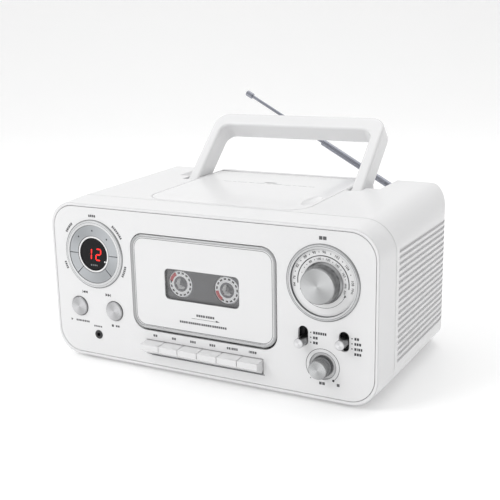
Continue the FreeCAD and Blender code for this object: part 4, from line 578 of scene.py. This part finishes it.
def volume_print(y):
    centre = Vector((VOLUME.x, 0, VOLUME.z))
    band("volume_arc", centre, 13.25, 13.6, y, y + 0.05 * MM, PRINT, "cabinet", -52, 215)
    spot = arc_points(centre, 13.4, y, -50, -49, 360)[0]
    disc("volume_dot", spot, 0.95, y, PRINT, "cabinet", 20)
    spot = arc_points(centre, 14.6, y, 228, 229, 360)[0]
    disc("volume_low_dot", spot, 0.5, y, LINE_GREY, "cabinet", 16)
    marks("volume_label", VOLUME.x - 0.5 * MM, VOLUME.z - 14.0 * MM + 0.2 * MM, (2.0, 2.1), y, 2.2)
    marks("volume_high_label", VOLUME.x + 12.5 * MM, VOLUME.z - 13.2 * MM, (2.2,), y, 2.2)
    # Painted shade: a thin dark ring where the volume knob's dish recess meets the panel.
    band("dish_edge_shade", centre, 10.45, 10.75, PANEL_Y - 0.05 * MM, PANEL_Y + 0.05 * MM, LINE_GREY, "cabinet")


# ---- tuning dial ---------------------------------------------------------------------

FM_MARKS = (("76", 176), ("82", 152), ("88", 128), ("90", 108), ("96", 88), ("102", 62), ("104", 36),
            ("108", 6))
AM_MARKS = (("80", 124), ("100", 101), ("120", 78), ("140", 52), ("160", 26))


def make_tuning_scale():
    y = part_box("tuning_scale")[0].y - 0.06 * MM
    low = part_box("tuning_scale")[0].y
    for words, angle in FM_MARKS:
        spot = arc_points(TUNING, 23.0, y, angle, angle + 1, 360)[0]
        lettering("fm_" + words, words, spot.x, spot.z, 2.9 * MM, y, PRINT, "cabinet", angle - 90)
    for i in range(len(FM_MARKS) - 1):
        angle = (FM_MARKS[i][1] + FM_MARKS[i + 1][1]) / 2
        spot = arc_points(TUNING, 23.0, y, angle, angle + 1, 360)[0]
        disc("fm_dot_%d" % i, spot, 0.4, y, PRINT, "cabinet", 14)
    for words, angle in AM_MARKS:
        spot = arc_points(TUNING, 17.9, y, angle, angle + 1, 360)[0]
        lettering("am_" + words, words, spot.x, spot.z, 2.5 * MM, y, PRINT, "cabinet", angle - 90)
    for i, angle in enumerate((160, 146, 136, 112, 90, 65, 39, 14)):
        spot = arc_points(TUNING, 17.9, y, angle, angle + 1, 360)[0]
        disc("am_dot_%d" % i, spot, 0.34, y, PRINT, "cabinet", 12)
    for words, angle, radius, tall in (("FM", 189, 23.0, 2.5), ("MHz", -9, 23.0, 2.4),
                                       ("kHz", -1, 17.6, 2.2),
                                       ("AM", -17, 17.6, 2.2)):
        spot = arc_points(TUNING, radius, y, angle, angle + 1, 360)[0]
        lettering("unit_" + words, words, spot.x, spot.z, tall * MM, y, PRINT, "cabinet", angle - 90)
    band("scale_arc", TUNING, 19.9, 20.6, y, y + 0.05 * MM, PRINT, "cabinet", -8, 186)
    band("scale_low_arc", TUNING, 19.0, 19.25, y, y + 0.05 * MM, PRINT, "cabinet", 200, 332)
    spot = arc_points(TUNING, 19.1, y, 200, 201, 360)[0]
    disc("scale_low_dot", spot, 0.55, y, PRINT, "cabinet", 14)
    spot = arc_points(TUNING, 19.1, y, 333, 334, 360)[0]
    slab("scale_arrow", [(spot.x - 0.9 * MM, spot.z - 1.0 * MM), (spot.x + 1.1 * MM, spot.z + 0.2 * MM),
                         (spot.x - 0.1 * MM, spot.z + 1.7 * MM)],
         y, y + 0.05 * MM, PRINT, "cabinet")
    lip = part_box("tuning_ring")[0].y
    outer = size("tuning_ring").x / 2 / MM
    inner = size("tuning_scale").x / 2 / MM
    for name, r0, r1, front in (("tuning_outer_line", outer - 0.05, outer + 0.4, PANEL_Y - 0.2 * MM),
                                ("tuning_mid_line", outer - 1.7, outer - 1.35, lip - 0.05 * MM),
                                ("tuning_inner_line", inner - 0.1, inner + 0.3, low - 0.4 * MM)):
        lathe(name, TUNING, section(r0, r1, front, front + 0.4 * MM), LINE_GREY, "cabinet")


# ---- cassette side -------------------------------------------------------------------

DOOR_CORNER = 12.0     # corner radius of the cassette door, mm
WORD_SPACE = 0.1       # thin bar in the gap between two words, mm


def make_door_trim():
    low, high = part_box("cassette_door")
    face = low.y
    radius = DOOR_CORNER * MM
    frame_band("door_border", (low.x, low.z), (high.x, high.z), radius,
               [(0.0, face + 0.9 * MM), (0.15, face - 0.5 * MM), (0.9, face - 0.9 * MM),
                (1.7, face - 0.5 * MM), (2.3, face + 0.05 * MM)],
               BORDER, "door_body")
    frame_band("door_inner_line", (low.x + 2.9 * MM, low.z + 2.9 * MM),
               (high.x - 2.9 * MM, high.z - 2.9 * MM), radius - 2.9 * MM,
               section(0.0, 0.45, face - 0.06 * MM, face + 0.1 * MM),
               LINE_GREY, "door_body")
    win_low, win_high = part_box("door_window")
    frame_band("window_edge", (win_low.x - 0.1 * MM, win_low.z - 0.1 * MM),
               (win_high.x + 0.1 * MM, win_high.z + 0.1 * MM), 4.0 * MM,
               section(0.0, 0.35, face - 0.05 * MM, face + 0.25 * MM), LINE_GREY, "door_body")
    y = face - 0.05 * MM
    z = win_low.z - 10.4 * MM
    marks("door_label_a", 3.0 * MM, z, (1.5, 1.7, 1.5, 1.7, 0.1, 1.5, 1.5, 1.7, 1.6), y, 1.9, 0.45,
          PRINT_GREY, "door_body")
    bar("door_arrow_line", 2.8 * MM, z - 2.9 * MM, 25 * MM, 0.28 * MM, y, PRINT_GREY, "door_body")
    slab("door_arrow", [(12.6 * MM, z - 3.3 * MM), (16.2 * MM, z - 2.9 * MM), (12.6 * MM, z - 1.7 * MM)], y,
         y + 0.05 * MM, PRINT, "door_body")
    words = ((1.5, 1.6, 1.5, 1.6), (1.5, 1.5, 1.5, 1.6, 1.5, 1.5), (1.5, 1.5, 1.5, 1.5, 1.5),
             (1.5, 1.5, 1.5, 1.5, 1.5, 1.5, 1.5))
    widths = [wide for word in words for wide in (*word, WORD_SPACE)][:-1]
    marks("door_label_b", 0.5 * MM, z - 7.0 * MM, widths, y, 1.8, 0.4, PRINT_GREY, "door_body")


def make_reel_marks(node, red_start):
    body = node + "_body"
    centre = middle(node)
    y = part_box(node)[0].y - 0.05 * MM
    for i in range(15):
        angle = 360 * i / 15 + 4
        if red_start <= angle % 360 <= red_start + 52:
            continue
        spot = arc_points(centre, 9.1, y, angle, angle + 1, 360)[0]
        bar("%s_tick_%d" % (node, i), spot.x, spot.z, 2.1 * MM, 1.25 * MM, y, PRINT, body, angle - 90)
    band(node + "_red", centre, 7.6, 10.4, y, y + 0.05 * MM, RED, body, red_start, red_start + 52)
    lathe(node + "_sleeve", centre, section(4.6, 6.3, y, y + 1.0 * MM), SPINDLE_GREY, body)
    lathe(node + "_edge", centre, section(10.75, 11.0, y, y + 0.3 * MM), PRINT_GREY, body)


def make_cassette_label():
    """Tape gauge between the reels and the tape seen behind it."""
    glass = middle("door_window")
    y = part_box("cassette_shell")[0].y + 1.62 * MM
    for i in range(7):
        bar("gauge_%d" % i, (i - 3) * 2.6 * MM, glass.z, 0.35 * MM, (3.2 if i % 3 == 0 else 2.0) * MM, y,
            LINE_GREY, "door_body")
    slab("gauge_window",
         [(-4.2 * MM, glass.z - 4.6 * MM), (4.2 * MM, glass.z - 4.6 * MM),
          (4.2 * MM, glass.z + 4.6 * MM), (-4.2 * MM, glass.z + 4.6 * MM)],
         y + 0.02 * MM, y + 0.06 * MM, SPINDLE_GREY, "door_body")


# ---- top, sides and back -------------------------------------------------------------

SEAM_DEPTH, SEAM_HEIGHT = 27, 135.5    # cabinet seam, mm behind the panel and above the underside
TOP_SLOPE = 0.03                       # lean of the top, in radians
DASH_DEPTH = 118                       # row of dashes on the lid, mm behind the panel
REAR_CORNER, CLOTH_INSET = 38, 1.2     # rear corner radius, and the grille cloth inside the outer face, mm
CLOTH_LOW, CLOTH_HIGH = 24, 115        # grille cloth above the underside, mm


def make_lid_print():
    at_y = PANEL_Y + DASH_DEPTH * MM
    top = UNDER + (SEAM_HEIGHT + TOP_SLOPE * (DASH_DEPTH - SEAM_DEPTH)) * MM
    lean = Matrix.Rotation(TOP_SLOPE, 4, "X")
    widths = (7, 3, 9, 5, 8, 4, 9, 6, 3, 8, 5)
    x = -45 * MM
    for i, wide in enumerate(widths):
        flat_mark("lid_dash_%d" % i, Vector((x + wide * MM / 2, at_y, top)), wide * MM, 0.5 * MM, lean,
                  LINE_GREY, "lid_body")
        x += (wide + 2.2) * MM
    points = []
    for i in range(24):
        angle = math.radians(15 * i)
        points.append(Vector((6.5 * MM * math.cos(angle), 1.6 * MM * math.sin(angle), 0.05 * MM)))
    moved = [Matrix.Translation((0.0, at_y + 4.5 * MM, top + 0.0001)) @ lean @ p for p in points]
    add_mesh("lid_oval", moved, [tuple(range(24))], LINE_GREY, "lid_body")


def flat_mark(name, centre, wide, deep, lean, material, body):
    points = [Vector((dx * wide / 2, dy * deep / 2, dz)) for dz in (0.0, 0.06 * MM)
              for dx, dy in ((-1, -1), (1, -1), (1, 1), (-1, 1))]
    moved = [Matrix.Translation(centre) @ lean @ p for p in points]
    faces = [(3, 2, 1, 0), (4, 5, 6, 7), (0, 1, 5, 4), (1, 2, 6, 5), (2, 3, 7, 6), (3, 0, 4, 7)]
    return add_mesh(name, moved, faces, material, body)


def make_grille_cloth():
    """Pale cloth in the side slots, just inside the outer face, following the rear corner."""
    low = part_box("rear_cabinet")[0]
    half = size("front_cabinet").x / 2
    back = BACK_Y
    corner, wall = REAR_CORNER * MM, CLOTH_INSET * MM
    bottom, top = UNDER + CLOTH_LOW * MM, UNDER + CLOTH_HIGH * MM
    for side in (-1, 1):
        path = [Vector((side * (half - wall), low.y + 3 * MM, 0))]
        for i in range(13):
            angle = math.radians(65 * i / 12)
            path.append(Vector((side * (half - corner + (corner - wall) * math.cos(angle)),
                                back - corner + (corner - wall) * math.sin(angle), 0)))
        loops = [[Vector((p.x, p.y, z)) for p in path] for z in (bottom, top)]
        skin("grille_cloth_%s" % ("right" if side > 0 else "left"), loops, CLOTH, "cabinet", closed=False)


def make_back_details():
    """Screw slots and a ribbed grip on the battery cover."""
    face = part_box("cabinet_screws")[1].y + 0.04 * MM
    low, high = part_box("cabinet_screws")
    inset = 3.4 * MM
    # Painted shade: black crossed bars stand for the shade inside the screw heads' cross slots.
    for i, x in enumerate((low.x + inset, high.x - inset)):
        for j, z in enumerate((low.z + inset, high.z - inset)):
            for k, angle in enumerate((35, 125)):
                bar("screw_slot_%d_%d_%d" % (i, j, k), x, z, 4.2 * MM, 0.9 * MM, face - 0.05 * MM, PRINT,
                    "cabinet", angle)
    low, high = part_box("battery_cover")
    for i, x in enumerate((-44 * MM, 44 * MM)):
        for k in range(5):
            bar("cover_grip_%d_%d" % (i, k), x, high.z - (5 + k * 1.6) * MM, 16 * MM, 0.7 * MM,
                high.y - 0.02 * MM, LINE_GREY,
                "cover_body", 0, 0.35)


# ---- studio --------------------------------------------------------------------------

def make_studio():
    floor_finish = surface("studio_floor", (0.93, 0.93, 0.93), 0.6, mottle=0.005, glow=0.15)
    points = []
    profile = [(-3.0, 0.0), (1.6, 0.0)]
    for i in range(1, 13):
        angle = math.radians(90 * i / 12)
        profile.append((1.6 + 1.2 * math.sin(angle), 1.2 * (1 - math.cos(angle))))
    profile.append((2.8, 4.0))
    for x in (-5.0, 5.0):
        points += [Vector((x, y, z)) for y, z in profile]
    count = len(profile)
    faces = [(i, i + 1, count + i + 1, count + i) for i in range(count - 1)]
    mesh = bpy.data.meshes.new("studio_floor")
    mesh.from_pydata([tuple(p) for p in points], [], faces)
    mesh.polygons.foreach_set("use_smooth", [True] * len(mesh.polygons))
    mesh.materials.append(floor_finish)
    floor = bpy.data.objects.new("studio_floor", mesh)
    bpy.context.scene.collection.objects.link(floor)
    floor.rotation_euler = (0, 0, math.radians(28))
    make_world()
    area("key_light", (-0.9, -1.2, 1.2), 0.9, 9.5)
    area("top_light", (0.1, 0.6, 1.7), 1.5, 5)


def make_world():
    """White tent, brightest above, behind and to the left, and darker in front and to the right."""
    world = bpy.data.worlds.new("studio_world")
    world.use_nodes = True
    tree = world.node_tree
    background = tree.nodes["Background"]
    background.inputs["Color"].default_value = (1, 1, 1, 1)
    coords = tree.nodes.new("ShaderNodeTexCoord")
    lean = tree.nodes.new("ShaderNodeVectorMath")
    lean.operation = "DOT_PRODUCT"
    lean.inputs[1].default_value = Vector((-0.55, 0.45, 0.70)).normalized()
    tree.links.new(coords.outputs["Generated"], lean.inputs[0])
    spread = tree.nodes.new("ShaderNodeMapRange")
    spread.inputs["From Min"].default_value = -0.8
    spread.inputs["From Max"].default_value = 0.8
    spread.inputs["To Min"].default_value = 0.33
    spread.inputs["To Max"].default_value = 1.05
    tree.links.new(lean.outputs["Value"], spread.inputs["Value"])
    tree.links.new(spread.outputs["Result"], background.inputs["Strength"])
    bpy.context.scene.world = world


def area(name, place, wide, power):
    light = bpy.data.lights.new(name, "AREA")
    light.shape = "SQUARE"
    light.size = wide
    light.energy = power
    thing = bpy.data.objects.new(name, light)
    bpy.context.scene.collection.objects.link(thing)
    thing.location = place
    aim = Vector((0, 0, 0.08)) - Vector(place)
    thing.rotation_euler = aim.to_track_quat("-Z", "Y").to_euler()


def make_camera():
    camera = bpy.data.cameras.new("camera")
    camera.sensor_width = 36
    camera.lens = 63.096
    thing = bpy.data.objects.new("camera", camera)
    bpy.context.scene.collection.objects.link(thing)
    right, up = Vector((0.8799, 0.4747, -0.0191)), Vector((-0.0985, 0.2216, 0.9701))
    right.normalize()
    up = (up - right * up.dot(right)).normalized()
    back = right.cross(up)
    matrix = Matrix((right, up, back)).transposed().to_4x4()
    matrix.translation = Vector((349.9 * MM, PANEL_Y - 559.9 * MM, UNDER + 268.6 * MM))
    thing.matrix_world = matrix
    bpy.context.scene.camera = thing


bpy.context.scene.view_settings.view_transform = "Standard"
paint_frame()
make_display()
make_panel_print()
make_tuning_scale()
make_door_trim()
make_reel_marks("left_reel", 118)
make_reel_marks("right_reel", 188)
make_cassette_label()
make_lid_print()
make_grille_cloth()
make_back_details()
make_studio()
make_camera()
